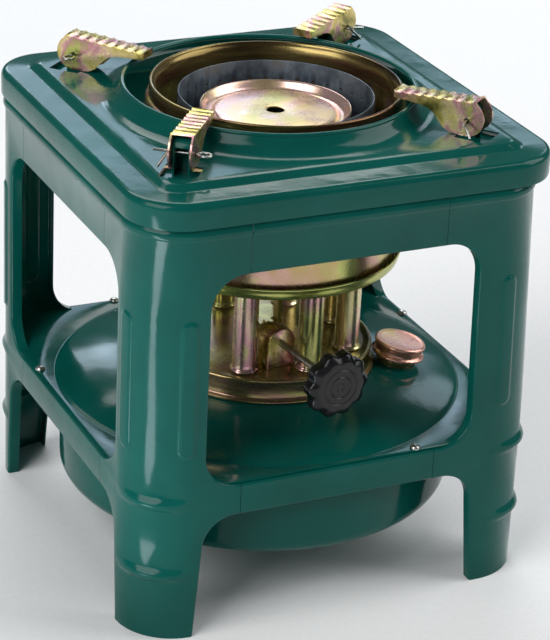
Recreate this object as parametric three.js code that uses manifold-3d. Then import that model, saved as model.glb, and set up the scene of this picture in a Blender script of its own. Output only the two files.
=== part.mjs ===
// A wick camping stove: a green pressed-steel stand on four corner legs, a round paraffin tank
// slung in it, and an eight-wick burner under a square top plate with four hinged pot rests.
// Millimetres, +Z up, the front face towards -Y, the origin on the ground at the plate's centre.
import * as THREE from 'three';
import { mergeVertices } from 'three/addons/utils/BufferGeometryUtils.js';
import Module from 'manifold-3d';

const wasm = await Module();
wasm.setup();

// ---------------------------------------------------------------- driving dimensions
const GAP = 0.3;                    // left between pieces that touch
const SHEET = 1;                    // pressed sheet steel

const PLATE_HALF = 120;             // square top plate
const PLATE_CORNER = 30;
const PLATE_TOP = 249.3;
const SKIRT_BOTTOM = 234.7;
const PANEL_HALF = 103;             // raised panel inside the plate's flat border
const PANEL_SLOPE = 5;
const PANEL_RISE = 3;
const PANEL_CORNER = 8;
const COLLAR_FOOT = 91;             // coned collar round the burner opening
const COLLAR_RADIUS = 80;
const COLLAR_TOP = 262;
const COLLAR_BEAD = 1.3;

const FRAME_HALF = 118.6;           // outer faces of legs and rails
const FRAME_CORNER = 32;
const FRAME_TOP = 243;
const LEAN = 0.05;                  // how far the right side stands in at the top
const LEAN_START = 95;
const SHOULDER = 1.3;               // bead under the skirt
const SHOULDER_CORNER = 28;
const SHOULDER_Z = 228;
const SHOULDER_HEIGHT = 6.2;
const CORNER_RIB_CORNER = 25;       // tighter corner of the short bulged ribs
const CORNER_RIB_HEIGHT = 8;
const CORNER_RIB_LEVELS = [34, 76];
const WIDE_LEG = { seam: 52, window: 74, archTop: 76.5, archFloor: 81 };
const NARROW_LEG = { seam: 61.7, window: 82, archTop: 82.5, archFloor: 86.3 };
const WINDOW_BOTTOM = 87.2;
const WINDOW_TOP = 207.2;
const WINDOW_RADIUS = 19;
const ARCH_TOP = 69.5;              // opening under the lower rail
const ARCH_RADIUS = 18;
const FLANGE = 6.5;                 // turned-in edges of legs and rails
const RIB_INNER = 88;               // upright rib pressed in each leg face
const RIB_OUTER = 98;
const RIB_BOTTOM = 107;
const RIB_TOP = 185;
const RIB_HEIGHT = 1.1;

const TRAY_BOTTOM = WINDOW_BOTTOM + GAP;
const TRAY_HALF = 117.2;
const TRAY_INNER_HALF = 111.6;      // stays inside the legs' flanges at the corners
const TRAY_TAB = 1.5;               // tabs on the rails end this far short of a seam
const DOME_FOOT = 115;
const DOME_SEAT = 64;
const DOME_RISE = 9.5;
const TANK_MOUTH = 57;
const BOWL_RADIUS = 111.4;
const BOWL_BOTTOM = 31.5;
const BOWL_CORNER = 8;
const RIVET_ALONG = [42, 42, 42, -42];    // one tray rivet on each rail
const RIVET_OUT = 115;
const RIVET_HEAD = 2.8;
const RIVET_SHANK = 1.3;

const FILLER_X = 74.5;                // filler neck and cap
const FILLER_Y = -27.2;
const FILLER_TILT = 10;             // degrees, square to the domed tank top
const NECK_RADIUS = 11;
const NECK_HEIGHT = 9.5;
const CAP_RADIUS = 14.6;
const CAP_BOTTOM = 4.4;
const CAP_HEIGHT = 8.4;

const BURNER_X = 3.5;               // the burner sits a little off the plate's centre
const BURNER_Y = -1.5;
const BURNER_TURN = 6.7;            // degrees
const PAN_RADIUS = 60;
const PAN_FLANGE = 62;
const PAN_TOP = 112;
const WICK_COUNT = 8;
const WICK_CIRCLE = 47.1;
const FIRST_WICK = -90;             // degrees
const TUBE_RADIUS = 6.75;
const TUBE_BORE = 5.95;
const TUBE_FOOT = 8;
const TUBE_TOP = 163.7;
const WICK_RADIUS = 5.2;
const WICK_BOTTOM = 40;
const WICK_TOP = 166;
const DISH_BOTTOM = 164;            // gallery dish that carries the flame rings
const DISH_INNER = 37;
const DISH_LIP = 62;
const DISH_RIM = 73.6;
const DISH_RIM_Z = 172;
const DRUM_RADIUS = 71;
const DRUM_SHOULDER = 254;
const DRUM_RING = 68.4;
const DRUM_TOP = 262.7;
const OUTER_FLAME_RADIUS = 53.6;
const OUTER_FLAME_TOP = 256.6;
const INNER_FLAME_RADIUS = 40.6;
const INNER_FLAME_TOP = 245.5;
const FLAME_HOLES = 12;
const FLAME_HOLE_RADIUS = 1;
const CUP_RADIUS = 41.5;
const CUP_RIM = 249.5;
const CUP_FLOOR = 246.8;
const CUP_GROOVE = 244.4;
const CUP_HOLE = 4.8;

const SPINDLE_X = -14;              // across the burner, in the burner's own frame
const SPINDLE_Z = 126;
const SPINDLE_RADIUS = 2;
const SPINDLE_INNER = -18;
const BRACKET_FRONT = -40.5;
const BRACKET_BACK = -29.2;
const BRACKET_HALF = 8.7;
const PINION_RADIUS = 5;            // pitch radius
const PINION_TEETH = 10;
const PINION_FRONT = -26;
const PINION_BACK = -20;
const CARRIER_Z = 150;
const KNOB_RADIUS = 18.8;
const KNOB_LOBES = 10;
const KNOB_FRONT = -100.5;
const KNOB_THICK = 10.5;

// Pot-rest pins, along each diagonal and aside from it; each lug is bent off it by some degrees.
const HINGES = [
  { out: 113.5, aside: 0, turn: -10 },
  { out: 113.5, aside: 0, turn: -3 },
  { out: 116.5, aside: -2.5, turn: 9 },
  { out: 113.5, aside: 0, turn: -8 },
];
const HINGE_Z = 261;
const REST_TIP = -43;               // from the pin towards the burner
const REST_HALF = 6.1;
const REST_WALL = 1;
const REST_RIDGES = 7;
const LUG_HALF = 4.6;
const LUG_INNER = -6;
const LUG_OUTER = 4.5;
const LUG_TOP = 8.2;
const LUG_WALL = 1.1;
const SLOT_HALF = 9.8;
const SLOT_OUTER = 13;
const PIN_RADIUS = 1.15;

const WIDE_ROUND = 40;              // sides of the widest round pieces
const ROUND = 28;                   // sides of the burner's round pieces
const CAP_ROUND = 18;               // sides of the filler neck and cap
const SMALL_ROUND = 10;             // sides of tubes and rods
const CORNER_STEPS = 4;             // facets in a frame corner

// ---------------------------------------------------------------- finishes
const enamel = new THREE.MeshStandardMaterial({ color: 0x12564a, roughness: 0.2, metalness: 0 });
const zinc = new THREE.MeshStandardMaterial({ color: 0xb9a25e, roughness: 0.32, metalness: 0.9 });
const darkSteel = new THREE.MeshStandardMaterial({ color: 0x3a434c, roughness: 0.5, metalness: 0.8 });
const wireSteel = new THREE.MeshStandardMaterial({ color: 0xb4b6b2, roughness: 0.3, metalness: 1 });
const blackPlastic = new THREE.MeshStandardMaterial({ color: 0x242226, roughness: 0.45 });
const cotton = new THREE.MeshStandardMaterial({ color: 0xd9d2c0, roughness: 0.95 });
const rubber = new THREE.MeshStandardMaterial({ color: 0x1c1c1c, roughness: 0.9 });

// ---------------------------------------------------------------- solids
function toSolid(source) {
  const bare = new THREE.BufferGeometry();
  bare.setAttribute('position', source.getAttribute('position').clone());
  if (source.index) bare.setIndex(source.index.clone());
  const merged = mergeVertices(bare, 1e-4);
  const points = merged.getAttribute('position').array;
  const corners = merged.index.array;
  const kept = [];
  let volume = 0;
  for (let i = 0; i < corners.length; i += 3) {
    const [a, b, c] = corners.slice(i, i + 3);
    if (a === b || b === c || c === a) continue;
    kept.push(a, b, c);
    const [p, q, r] = [a, b, c].map((k) => new THREE.Vector3().fromArray(points, 3 * k));
    volume += p.dot(q.cross(r));
  }
  if (volume < 0) kept.reverse();
  return new wasm.Manifold(new wasm.Mesh({
    numProp: 3,
    vertProperties: new Float32Array(points),
    triVerts: new Uint32Array(kept),
  }));
}

function piece(name, solid, material) {
  const data = solid.getMesh();
  const geometry = new THREE.BufferGeometry();
  geometry.setAttribute('position', new THREE.BufferAttribute(data.vertProperties, 3));
  geometry.setIndex(new THREE.BufferAttribute(data.triVerts, 1));
  geometry.computeVertexNormals();
  const mesh = new THREE.Mesh(geometry, material);
  mesh.name = name;
  return mesh;
}

const join = (...solids) => solids.reduce((sum, next) => sum.add(next));
const turned = (solid, degrees) => solid.rotate([0, 0, degrees]);
const radians = THREE.MathUtils.degToRad;

// A shape drawn in X and Z, extruded along Y.
function prismY(shape, front, back, curveSegments = CORNER_STEPS) {
  const depth = back - front;
  const source = new THREE.ExtrudeGeometry(shape, { depth, bevelEnabled: false, curveSegments });
  return toSolid(source.rotateX(Math.PI / 2).translate(0, back, 0));
}

function box(x0, x1, y0, y1, z0, z1) {
  const source = new THREE.BoxGeometry(x1 - x0, y1 - y0, z1 - z0);
  return toSolid(source.translate((x0 + x1) / 2, (y0 + y1) / 2, (z0 + z1) / 2));
}

// A closed [radius, height] profile spun about Z.
function spun(profile, sides = ROUND) {
  const points = profile.map(([radius, height]) => new THREE.Vector2(radius, height));
  points.push(points[0].clone());
  return toSolid(new THREE.LatheGeometry(points, sides).rotateX(Math.PI / 2));
}

const tube = (inner, outer, bottom, top, sides) => spun(
  [[inner, bottom], [outer, bottom], [outer, top], [inner, top]], sides);
const disc = (radius, bottom, top, sides) => spun(
  [[0, bottom], [radius, bottom], [radius, top], [0, top]], sides);

// A cylinder between two points.
function rod(from, to, radius, sides = SMALL_ROUND) {
  const start = new THREE.Vector3(...from);
  const along = new THREE.Vector3(...to).sub(start);
  const source = new THREE.CylinderGeometry(radius, radius, along.length(), sides);
  source.translate(0, along.length() / 2, 0);
  const turn = new THREE.Quaternion().setFromUnitVectors(
    new THREE.Vector3(0, 1, 0), along.clone().normalize());
  source.applyQuaternion(turn);
  return toSolid(source.translate(start.x, start.y, start.z));
}

// A square loop with round corners, at one height.
function squareLoop(half, corner, height) {
  const loop = [];
  for (let side = 0; side < 4; side += 1) {
    const start = side * Math.PI / 2;
    const middle = new THREE.Vector2(half - corner, half - corner)
      .rotateAround(new THREE.Vector2(), start);
    for (let step = 0; step <= CORNER_STEPS; step += 1) {
      const angle = start + (step / CORNER_STEPS) * Math.PI / 2;
      loop.push(new THREE.Vector3(
        middle.x + corner * Math.cos(angle), middle.y + corner * Math.sin(angle), height));
    }
  }
  return loop;
}

// A solid skinned over convex loops of equal count, lowest first.
function loft(loops) {
  const count = loops[0].length;
  const last = (loops.length - 1) * count;
  const index = [];
  for (let level = 0; level < loops.length - 1; level += 1) {
    for (let i = 0; i < count; i += 1) {
      const a = level * count + i;
      const b = level * count + (i + 1) % count;
      index.push(a, b, b + count, a, b + count, a + count);
    }
  }
  for (let i = 1; i < count - 1; i += 1) {
    index.push(0, i + 1, i, last, last + i, last + i + 1);
  }
  const source = new THREE.BufferGeometry();
  source.setAttribute('position', new THREE.Float32BufferAttribute(
    loops.flat().flatMap((point) => point.toArray()), 3));
  source.setIndex(index);
  return toSolid(source);
}

const squarePrism = (half, corner, bottom, top) => loft(
  [squareLoop(half, corner, bottom), squareLoop(half, corner, top)]);

// ---------------------------------------------------------------- top plate
const PANEL_TOP = PLATE_TOP + PANEL_RISE;

// The plate's outer form, or its inner form when it is set in by the sheet's thickness.
function plateForm(inset) {
  const skirt = squarePrism(
    PLATE_HALF - inset, PLATE_CORNER - inset, SKIRT_BOTTOM - inset, PLATE_TOP - inset);
  const panelTopHalf = PANEL_HALF - PANEL_SLOPE;
  const panel = loft([
    squareLoop(PANEL_HALF - inset, PANEL_CORNER, PLATE_TOP - 2 * SHEET),
    squareLoop(PANEL_HALF - inset, PANEL_CORNER, PLATE_TOP - inset),
    squareLoop(panelTopHalf - inset, PANEL_CORNER, PANEL_TOP - inset),
  ]);
  const collar = spun([
    [0, PLATE_TOP - 2 * SHEET], [COLLAR_FOOT - inset, PLATE_TOP - 2 * SHEET],
    [COLLAR_FOOT - inset, PANEL_TOP - inset], [COLLAR_RADIUS + 4 - inset, PANEL_TOP + 2.6 - inset],
    [COLLAR_RADIUS - inset, COLLAR_TOP + inset], [0, COLLAR_TOP + inset],
  ], WIDE_ROUND);
  return join(skirt, panel, collar);
}

const lugArcRadius = (LUG_OUTER - LUG_INNER) / 2;
const lugArcHeight = LUG_TOP - lugArcRadius;

// Side view of a lug with a round top, measured from the hinge pin.
function lugProfile(inset, outer, bottom) {
  const middle = (LUG_INNER + LUG_OUTER) / 2;
  const shape = new THREE.Shape();
  shape.moveTo(LUG_INNER + inset, bottom);
  shape.lineTo(outer, bottom);
  shape.lineTo(outer, lugArcHeight);
  if (outer > LUG_OUTER) shape.lineTo(LUG_OUTER - inset, lugArcHeight);
  shape.absarc(middle, lugArcHeight, lugArcRadius - inset, 0, Math.PI, false);
  shape.closePath();
  return shape;
}

// Lugs, slots, pins and rests are drawn along +X from the hinge pin, then set on a diagonal.
const onDiagonal = (solid, side) => turned(turned(solid, HINGES[side].turn)
  .translate([HINGES[side].out, HINGES[side].aside, HINGE_Z]), 45 + 90 * side);
const alongHinge = (half, radius) => rod([0, -half, 0], [0, half, 0], radius);

function topPlate() {
  let plate = plateForm(0).subtract(plateForm(SHEET));
  const bead = spun([0, 1, 2, 3, 4, 5].map((step) => [
    COLLAR_RADIUS - 0.4 + COLLAR_BEAD * Math.cos(step * Math.PI / 3),
    COLLAR_TOP - 0.5 + COLLAR_BEAD * Math.sin(step * Math.PI / 3)]), WIDE_ROUND);
  plate = plate.add(bead);
  const under = PANEL_TOP - SHEET - HINGE_Z;
  const slot = box(LUG_INNER + LUG_WALL, SLOT_OUTER, -SLOT_HALF, SLOT_HALF, under - 1, under + 3);
  const lug = prismY(lugProfile(0, LUG_OUTER, under), -LUG_HALF, LUG_HALF)
    .subtract(prismY(lugProfile(LUG_WALL, LUG_OUTER + 2, under - 2), LUG_WALL - LUG_HALF,
      LUG_HALF - LUG_WALL))
    .subtract(alongHinge(LUG_HALF + 1, PIN_RADIUS + GAP));
  for (let side = 0; side < 4; side += 1) {
    plate = plate.subtract(onDiagonal(slot, side)).add(onDiagonal(lug, side));
  }
  return plate;
}

// ---------------------------------------------------------------- stand
// The wider legs stand on the right, so the front and back openings lie off centre.
const OPENINGS = [
  { left: NARROW_LEG, right: WIDE_LEG },
  { left: NARROW_LEG, right: NARROW_LEG },
  { left: WIDE_LEG, right: NARROW_LEG },
  { left: NARROW_LEG, right: NARROW_LEG },
];

function windowShape({ left, right }, grow) {
  const radius = WINDOW_RADIUS + grow;
  const rightX = right.window + grow - radius;
  const leftX = radius - left.window - grow;
  const low = WINDOW_BOTTOM - grow + radius;
  const high = WINDOW_TOP + grow - radius;
  const shape = new THREE.Shape();
  shape.absarc(rightX, low, radius, -Math.PI / 2, 0, false);
  shape.absarc(rightX, high, radius, 0, Math.PI / 2, false);
  shape.absarc(leftX, high, radius, Math.PI / 2, Math.PI, false);
  shape.absarc(leftX, low, radius, Math.PI, 1.5 * Math.PI, false);
  shape.closePath();
  return shape;
}

function archShape({ left, right }, grow) {
  const radius = ARCH_RADIUS + grow;
  const spring = ARCH_TOP + grow - radius;
  const shape = new THREE.Shape();
  shape.moveTo(-left.archFloor - grow, -GAP);
  shape.lineTo(right.archFloor + grow, -GAP);
  shape.absarc(right.archTop + grow - radius, spring, radius, 0, Math.PI / 2, false);
  shape.absarc(radius - left.archTop - grow, spring, radius, Math.PI / 2, Math.PI, false);
  shape.closePath();
  return shape;
}

function uprightRib() {
  const middle = (RIB_INNER + RIB_OUTER) / 2;
  const radius = (RIB_OUTER - RIB_INNER) / 2;
  const shape = new THREE.Shape();
  shape.absarc(middle, RIB_TOP - radius, radius, 0, Math.PI, false);
  shape.absarc(middle, RIB_BOTTOM + radius, radius, Math.PI, 2 * Math.PI, false);
  shape.closePath();
  return prismY(shape, -PLATE_HALF, -PLATE_HALF / 2, 4);
}

// The whole pressed skirt of the stand, before it is divided into legs and rails.
function standSkirt() {
  const plain = (z) => squareLoop(FRAME_HALF, FRAME_CORNER, z);
  const levels = [plain(0)];
  for (const z of CORNER_RIB_LEVELS) {
    const crest = (share) => squareLoop(
      FRAME_HALF, CORNER_RIB_CORNER, z + share * CORNER_RIB_HEIGHT);
    levels.push(plain(z), crest(0.35), crest(0.65), plain(z + CORNER_RIB_HEIGHT));
  }
  const bulge = (share) => squareLoop(
    FRAME_HALF + SHOULDER, SHOULDER_CORNER, SHOULDER_Z + share * SHOULDER_HEIGHT);
  levels.push(plain(LEAN_START), plain(SHOULDER_Z), bulge(0.35), bulge(0.85),
    plain(SHOULDER_Z + SHOULDER_HEIGHT), plain(FRAME_TOP));
  const core = squarePrism(FRAME_HALF - SHEET, FRAME_CORNER - SHEET, -SHEET, FRAME_TOP + SHEET);
  let skirt = loft(levels);
  const raised = squarePrism(
    FRAME_HALF + RIB_HEIGHT, FRAME_CORNER + RIB_HEIGHT, RIB_BOTTOM, RIB_TOP);
  const rib = uprightRib();
  const mirrored = rib.mirror([1, 0, 0]);
  for (let side = 0; side < 4; side += 1) {
    skirt = skirt.add(raised.intersect(turned(join(rib, mirrored), 90 * side)));
  }
  skirt = skirt.subtract(core);
  for (const shapeOf of [windowShape, archShape]) {
    OPENINGS.forEach((opening, side) => {
      const flange = prismY(shapeOf(opening, SHEET), SHEET / 4 - FRAME_HALF, FLANGE - FRAME_HALF);
      const hole = prismY(shapeOf(opening, 0), -PLATE_HALF - SHEET, -PLATE_HALF / 2);
      skirt = skirt.add(turned(flange, 90 * side)).subtract(turned(hole, 90 * side));
    });
  }
  return skirt.intersect(box(-PLATE_HALF, PLATE_HALF, -PLATE_HALF, PLATE_HALF, 0, FRAME_TOP));
}

const skirtSolid = standSkirt();
const CORNERS = ['front_right', 'back_right', 'back_left', 'front_left'];
const SIDES = ['front', 'right', 'back', 'left'];

function rivetHole(side) {
  const x = RIVET_ALONG[side];
  const hole = rod([x, -RIVET_OUT, 80], [x, -RIVET_OUT, 95], RIVET_SHANK + GAP, 8);
  return turned(hole, 90 * side);
}

// A leg reaches from its corner to the seam on each of its two faces.
function leg(corner) {
  const reach = PLATE_HALF + 1;
  const seamOn = (side, end) => OPENINGS[side % 4][end].seam + GAP / 2;
  const cell = box(seamOn(corner, 'right'), reach, -reach, -seamOn(corner + 1, 'left'),
    -1, FRAME_TOP + 1);
  return skirtSolid.intersect(turned(cell, 90 * corner));
}

function rail(side, upper) {
  const { left, right } = OPENINGS[side];
  const cell = box(GAP / 2 - left.seam, right.seam - GAP / 2, -PLATE_HALF - 1, -PLATE_HALF / 2,
    upper ? WINDOW_TOP - SHEET : ARCH_TOP - SHEET, upper ? FRAME_TOP : WINDOW_BOTTOM);
  const strip = skirtSolid.intersect(turned(cell, 90 * side));
  return upper ? strip : strip.subtract(rivetHole(side));
}

// The stand's right side leans in a little towards the top.
function leant(mesh) {
  const points = mesh.geometry.getAttribute('position');
  for (let i = 0; i < points.count; i += 1) {
    const height = (points.getZ(i) - LEAN_START) / (SKIRT_BOTTOM - LEAN_START);
    if (points.getX(i) > 0 && height > 0) points.setX(i, points.getX(i) * (1 - LEAN * height));
  }
  mesh.geometry.computeVertexNormals();
  return mesh;
}

// ---------------------------------------------------------------- tank
const TRAY_TOP = TRAY_BOTTOM + SHEET;
const SEAT_TOP = TRAY_TOP + DOME_RISE;

// Height of the dome's upper face at a radius, level inside the burner seat.
function domeHeight(radius) {
  const share = THREE.MathUtils.clamp((radius - DOME_SEAT) / (DOME_FOOT - DOME_SEAT), 0, 1);
  return SEAT_TOP - DOME_RISE * share ** 1.4;
}

function fillerFrame(solid) {
  const out = THREE.MathUtils.radToDeg(Math.atan2(FILLER_Y, FILLER_X));
  const base = domeHeight(Math.hypot(FILLER_X, FILLER_Y));
  return solid.rotate([0, FILLER_TILT, 0]).rotate([0, 0, out]).translate([FILLER_X, FILLER_Y, base]);
}

function tankTop() {
  const tabs = OPENINGS.map(({ left, right }, side) => turned(box(TRAY_TAB - left.seam,
    right.seam - TRAY_TAB, -TRAY_HALF, 0, TRAY_BOTTOM, TRAY_TOP), 90 * side));
  let tray = join(squarePrism(TRAY_INNER_HALF, PLATE_CORNER, TRAY_BOTTOM, TRAY_TOP), ...tabs);
  tray = tray.subtract(disc(DOME_FOOT - 1, TRAY_BOTTOM - 1, TRAY_TOP + 1, WIDE_ROUND));
  const radii = [DOME_FOOT, 105, 91, 77, DOME_SEAT, TANK_MOUTH];
  const upper = radii.map((radius) => [radius, domeHeight(radius)]);
  const lower = radii.map((radius) => [radius, domeHeight(radius) - SHEET]).reverse();
  tray = tray.add(spun([...upper, ...lower], WIDE_ROUND));
  for (let side = 0; side < 4; side += 1) tray = tray.subtract(rivetHole(side));
  return tray.subtract(fillerFrame(disc(NECK_RADIUS + GAP, -6, 4, CAP_ROUND)));
}

function tankBowl() {
  const arc = (inset, steps) => Array.from({ length: steps + 1 }, (_, i) => {
    const angle = (i / steps - 1) * Math.PI / 2;
    const radius = BOWL_CORNER - inset;
    return [BOWL_RADIUS - BOWL_CORNER + radius * Math.cos(angle),
      BOWL_BOTTOM + BOWL_CORNER + radius * Math.sin(angle)];
  });
  const rim = TRAY_BOTTOM - GAP;
  return spun([[0, BOWL_BOTTOM], ...arc(0, 3), [BOWL_RADIUS, rim], [BOWL_RADIUS - SHEET, rim],
    ...arc(SHEET, 3).reverse(), [0, BOWL_BOTTOM + SHEET]], WIDE_ROUND);
}

function trayRivet(side) {
  const head = TRAY_TOP + GAP;
  const tail = WINDOW_BOTTOM - SHEET - GAP;
  const body = spun([[0, tail - 1.2], [2.2, tail - 1.2], [2.2, tail], [RIVET_SHANK, tail],
    [RIVET_SHANK, head], [RIVET_HEAD, head], [RIVET_HEAD - 0.5, head + 1.3],
    [RIVET_HEAD - 1.6, head + 2.1], [0, head + 2.3]], 10);
  return turned(body.translate([RIVET_ALONG[side], -RIVET_OUT, 0]), 90 * side);
}

function fillerNeck() {
  const bore = NECK_RADIUS - 1.2;
  return fillerFrame(spun([[bore, -5], [NECK_RADIUS, -5], [NECK_RADIUS, 2.2], [12.6, 2.2], [12.6, 3],
    [NECK_RADIUS, 3], [NECK_RADIUS, NECK_HEIGHT], [bore, NECK_HEIGHT]], CAP_ROUND));
}

function fillerCap() {
  const top = CAP_BOTTOM + CAP_HEIGHT;
  const inner = NECK_RADIUS + 1.2;
  return fillerFrame(spun([[inner, CAP_BOTTOM], [CAP_RADIUS + 0.2, CAP_BOTTOM],
    [CAP_RADIUS + 0.7, CAP_BOTTOM + 0.9], [CAP_RADIUS + 0.1, CAP_BOTTOM + 1.8],
    [CAP_RADIUS - 1, CAP_BOTTOM + 2.6], [CAP_RADIUS - 0.9, top - 3.4],
    [CAP_RADIUS, top - 2.4], [CAP_RADIUS, top - 0.9], [CAP_RADIUS - 0.9, top], [0, top],
    [0, top - SHEET], [inner, top - SHEET]], CAP_ROUND));
}

function capSeal() {
  const top = CAP_BOTTOM + CAP_HEIGHT - SHEET - GAP;
  return fillerFrame(disc(NECK_RADIUS + 0.8, NECK_HEIGHT + GAP, top, CAP_ROUND));
}

// ---------------------------------------------------------------- burner, in its own frame
const wickAngles = Array.from({ length: WICK_COUNT }, (_, i) => FIRST_WICK + i * 360 / WICK_COUNT);

const onWickCircle = (solid, angle) => turned(solid.translate([WICK_CIRCLE, 0, 0]), angle);

function wickHoles(radius, bottom, top) {
  return join(...wickAngles.map((angle) => onWickCircle(
    disc(radius, bottom, top, SMALL_ROUND), angle)));
}

function burnerPan() {
  const foot = SEAT_TOP + GAP;
  const wall = PAN_RADIUS - SHEET;
  const shell = spun([[wall, foot], [PAN_FLANGE, foot], [PAN_FLANGE + 0.5, foot + 0.8],
    [PAN_FLANGE, foot + 1.6], [PAN_RADIUS, foot + 2], [PAN_RADIUS, PAN_TOP - 1.6],
    [PAN_RADIUS + 0.6, PAN_TOP - 0.8], [PAN_RADIUS, PAN_TOP], [0, PAN_TOP],
    [0, PAN_TOP - SHEET], [wall, PAN_TOP - SHEET]]);
  const vent = turned(rod([wall - 2, 0, 105.5], [PAN_RADIUS + 2, 0, 105.5], 1.2, 8), -100);
  return shell.subtract(wickHoles(TUBE_BORE, PAN_TOP - 3, PAN_TOP + 2)).subtract(vent);
}

function wickTube(angle) {
  const foot = PAN_TOP + GAP;
  const body = spun([[TUBE_BORE, foot], [TUBE_FOOT, foot], [TUBE_FOOT, foot + 0.9],
    [TUBE_RADIUS, foot + 2.4], [TUBE_RADIUS, TUBE_TOP], [TUBE_BORE, TUBE_TOP]], SMALL_ROUND);
  const slit = box(-TUBE_RADIUS - 1, -TUBE_BORE + 2, -1.6, 1.6, CARRIER_Z - 2, TUBE_TOP + 1);
  return onWickCircle(body.subtract(slit), angle);
}

const wick = (angle) => onWickCircle(disc(WICK_RADIUS, WICK_BOTTOM, WICK_TOP, 8), angle);

function galleryDish() {
  const floor = DISH_BOTTOM + SHEET;
  return spun([[DISH_INNER, DISH_BOTTOM], [DISH_LIP - 3, DISH_BOTTOM],
    [DISH_LIP - 2, DISH_BOTTOM - 2], [DISH_LIP, DISH_BOTTOM - 2], [DISH_LIP + 1, DISH_BOTTOM],
    [71, DISH_BOTTOM + 0.8], [72, DISH_BOTTOM + 2], [DISH_RIM - 0.5, DISH_RIM_Z - 1],
    [DISH_RIM, DISH_RIM_Z], [DISH_RIM - 1.2, DISH_RIM_Z], [71.6, DISH_BOTTOM + 2.4],
    [70, floor + 0.8], [DISH_LIP + 1, floor], [DISH_INNER, floor]])
    .subtract(wickHoles(WICK_RADIUS + 0.4, DISH_BOTTOM - 1, floor + 1));
}

function outerDrum() {
  const foot = DISH_BOTTOM + SHEET + 2.2;
  const wall = 0.9;
  return spun([[DRUM_RADIUS - 0.9 - wall, foot], [DRUM_RADIUS - 0.9, foot],
    [DRUM_RADIUS - 0.9, DRUM_SHOULDER - 12], [DRUM_RADIUS, DRUM_SHOULDER - 9],
    [DRUM_RADIUS, DRUM_SHOULDER], [DRUM_RING + 0.6, DRUM_SHOULDER + 1],
    [DRUM_RING + 0.3, DRUM_TOP - 1], [DRUM_RING - 0.4, DRUM_TOP], [DRUM_RING - 1.4, DRUM_TOP - 0.4],
    [DRUM_RING - 2.6, DRUM_TOP - 4], [DRUM_RING - 3.6, DRUM_TOP - 12],
    [DRUM_RING - 4.4, DRUM_TOP - 12], [DRUM_RING - 3.4, DRUM_TOP - 4],
    [DRUM_RING - 2, DRUM_TOP - 2.2], [DRUM_RING - 0.6, DRUM_SHOULDER],
    [DRUM_RADIUS - wall, DRUM_SHOULDER - 1], [DRUM_RADIUS - wall, DRUM_SHOULDER - 9],
    [DRUM_RADIUS - 0.9 - wall, DRUM_SHOULDER - 12]]);
}

// A flame ring: a thin upright cylinder with rows of small air holes.
function flameRing(outer, top, rows) {
  const wall = 0.8;
  const bottom = DISH_BOTTOM + SHEET + GAP;
  let ring = tube(outer - wall, outer, bottom, top);
  for (const row of rows) {
    for (let i = 0; i < FLAME_HOLES; i += 1) {
      const hole = rod([outer - 3, 0, row], [outer + 3, 0, row], FLAME_HOLE_RADIUS, 5);
      ring = ring.subtract(turned(hole, (i + 0.5) * 360 / FLAME_HOLES));
    }
  }
  return ring;
}

function centreCup() {
  const wall = 0.9;
  const seat = INNER_FLAME_TOP + GAP;
  const fit = INNER_FLAME_RADIUS - 0.8 - GAP;
  const upper = [[CUP_RADIUS - 1.2, CUP_RIM - 0.7], [fit - 0.6, CUP_GROOVE + 2],
    [fit - 3, CUP_GROOVE], [fit - 4.6, CUP_GROOVE], [fit - 6.5, CUP_FLOOR - 0.6],
    [fit - 9, CUP_FLOOR], [CUP_HOLE, CUP_FLOOR]];
  const lower = [[CUP_HOLE, CUP_FLOOR - wall], [fit - 8.6, CUP_FLOOR - wall],
    [fit - 6, CUP_GROOVE - wall], [fit - 2, CUP_GROOVE - wall], [fit, seat],
    [CUP_RADIUS - 0.2, seat], [CUP_RADIUS, CUP_RIM - 0.6], [CUP_RADIUS - 0.6, CUP_RIM]];
  return spun([...lower, ...upper]);
}

// ---------------------------------------------------------------- wick lift, in the burner's frame
function bracketShape(inset) {
  const half = BRACKET_HALF - inset;
  const shape = new THREE.Shape();
  shape.moveTo(SPINDLE_X - half, PAN_TOP + GAP);
  shape.lineTo(SPINDLE_X + half, PAN_TOP + GAP);
  shape.absarc(SPINDLE_X, SPINDLE_Z, half, 0, Math.PI, false);
  shape.closePath();
  return shape;
}

const onSpindle = (front, back, radius, sides) => rod(
  [SPINDLE_X, front, SPINDLE_Z], [SPINDLE_X, back, SPINDLE_Z], radius, sides);

function spindleBracket() {
  return prismY(bracketShape(0), BRACKET_FRONT, BRACKET_BACK)
    .subtract(prismY(bracketShape(SHEET), BRACKET_FRONT + SHEET, BRACKET_BACK + 1))
    .subtract(onSpindle(BRACKET_FRONT - 1, BRACKET_BACK, SPINDLE_RADIUS + GAP, SMALL_ROUND));
}

const toothPitch = 2 * Math.PI * PINION_RADIUS / PINION_TEETH;
const TOOTH_OUT = 0.8;              // tooth height above and below the pitch line
const TOOTH_IN = 1;

// A small gear with straight-sided teeth, each narrower at its tip.
function pinionShape() {
  const shape = new THREE.Shape();
  const at = (radius, angle) => [SPINDLE_X + radius * Math.cos(angle),
    SPINDLE_Z + radius * Math.sin(angle)];
  for (let i = 0; i < PINION_TEETH; i += 1) {
    const middle = (i + 0.5) * 2 * Math.PI / PINION_TEETH;
    const root = PINION_RADIUS - TOOTH_IN;
    const tip = PINION_RADIUS + TOOTH_OUT;
    const corners = [at(root, middle - 0.17), at(tip, middle - 0.07),
      at(tip, middle + 0.07), at(root, middle + 0.17)];
    corners.forEach((corner, k) => (i + k === 0 ? shape.moveTo(...corner)
      : shape.lineTo(...corner)));
  }
  shape.closePath();
  return shape;
}

function pinion() {
  return prismY(pinionShape(), PINION_FRONT, PINION_BACK)
    .subtract(onSpindle(PINION_FRONT - 1, PINION_BACK + 1, SPINDLE_RADIUS + 0.15, SMALL_ROUND));
}

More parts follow.
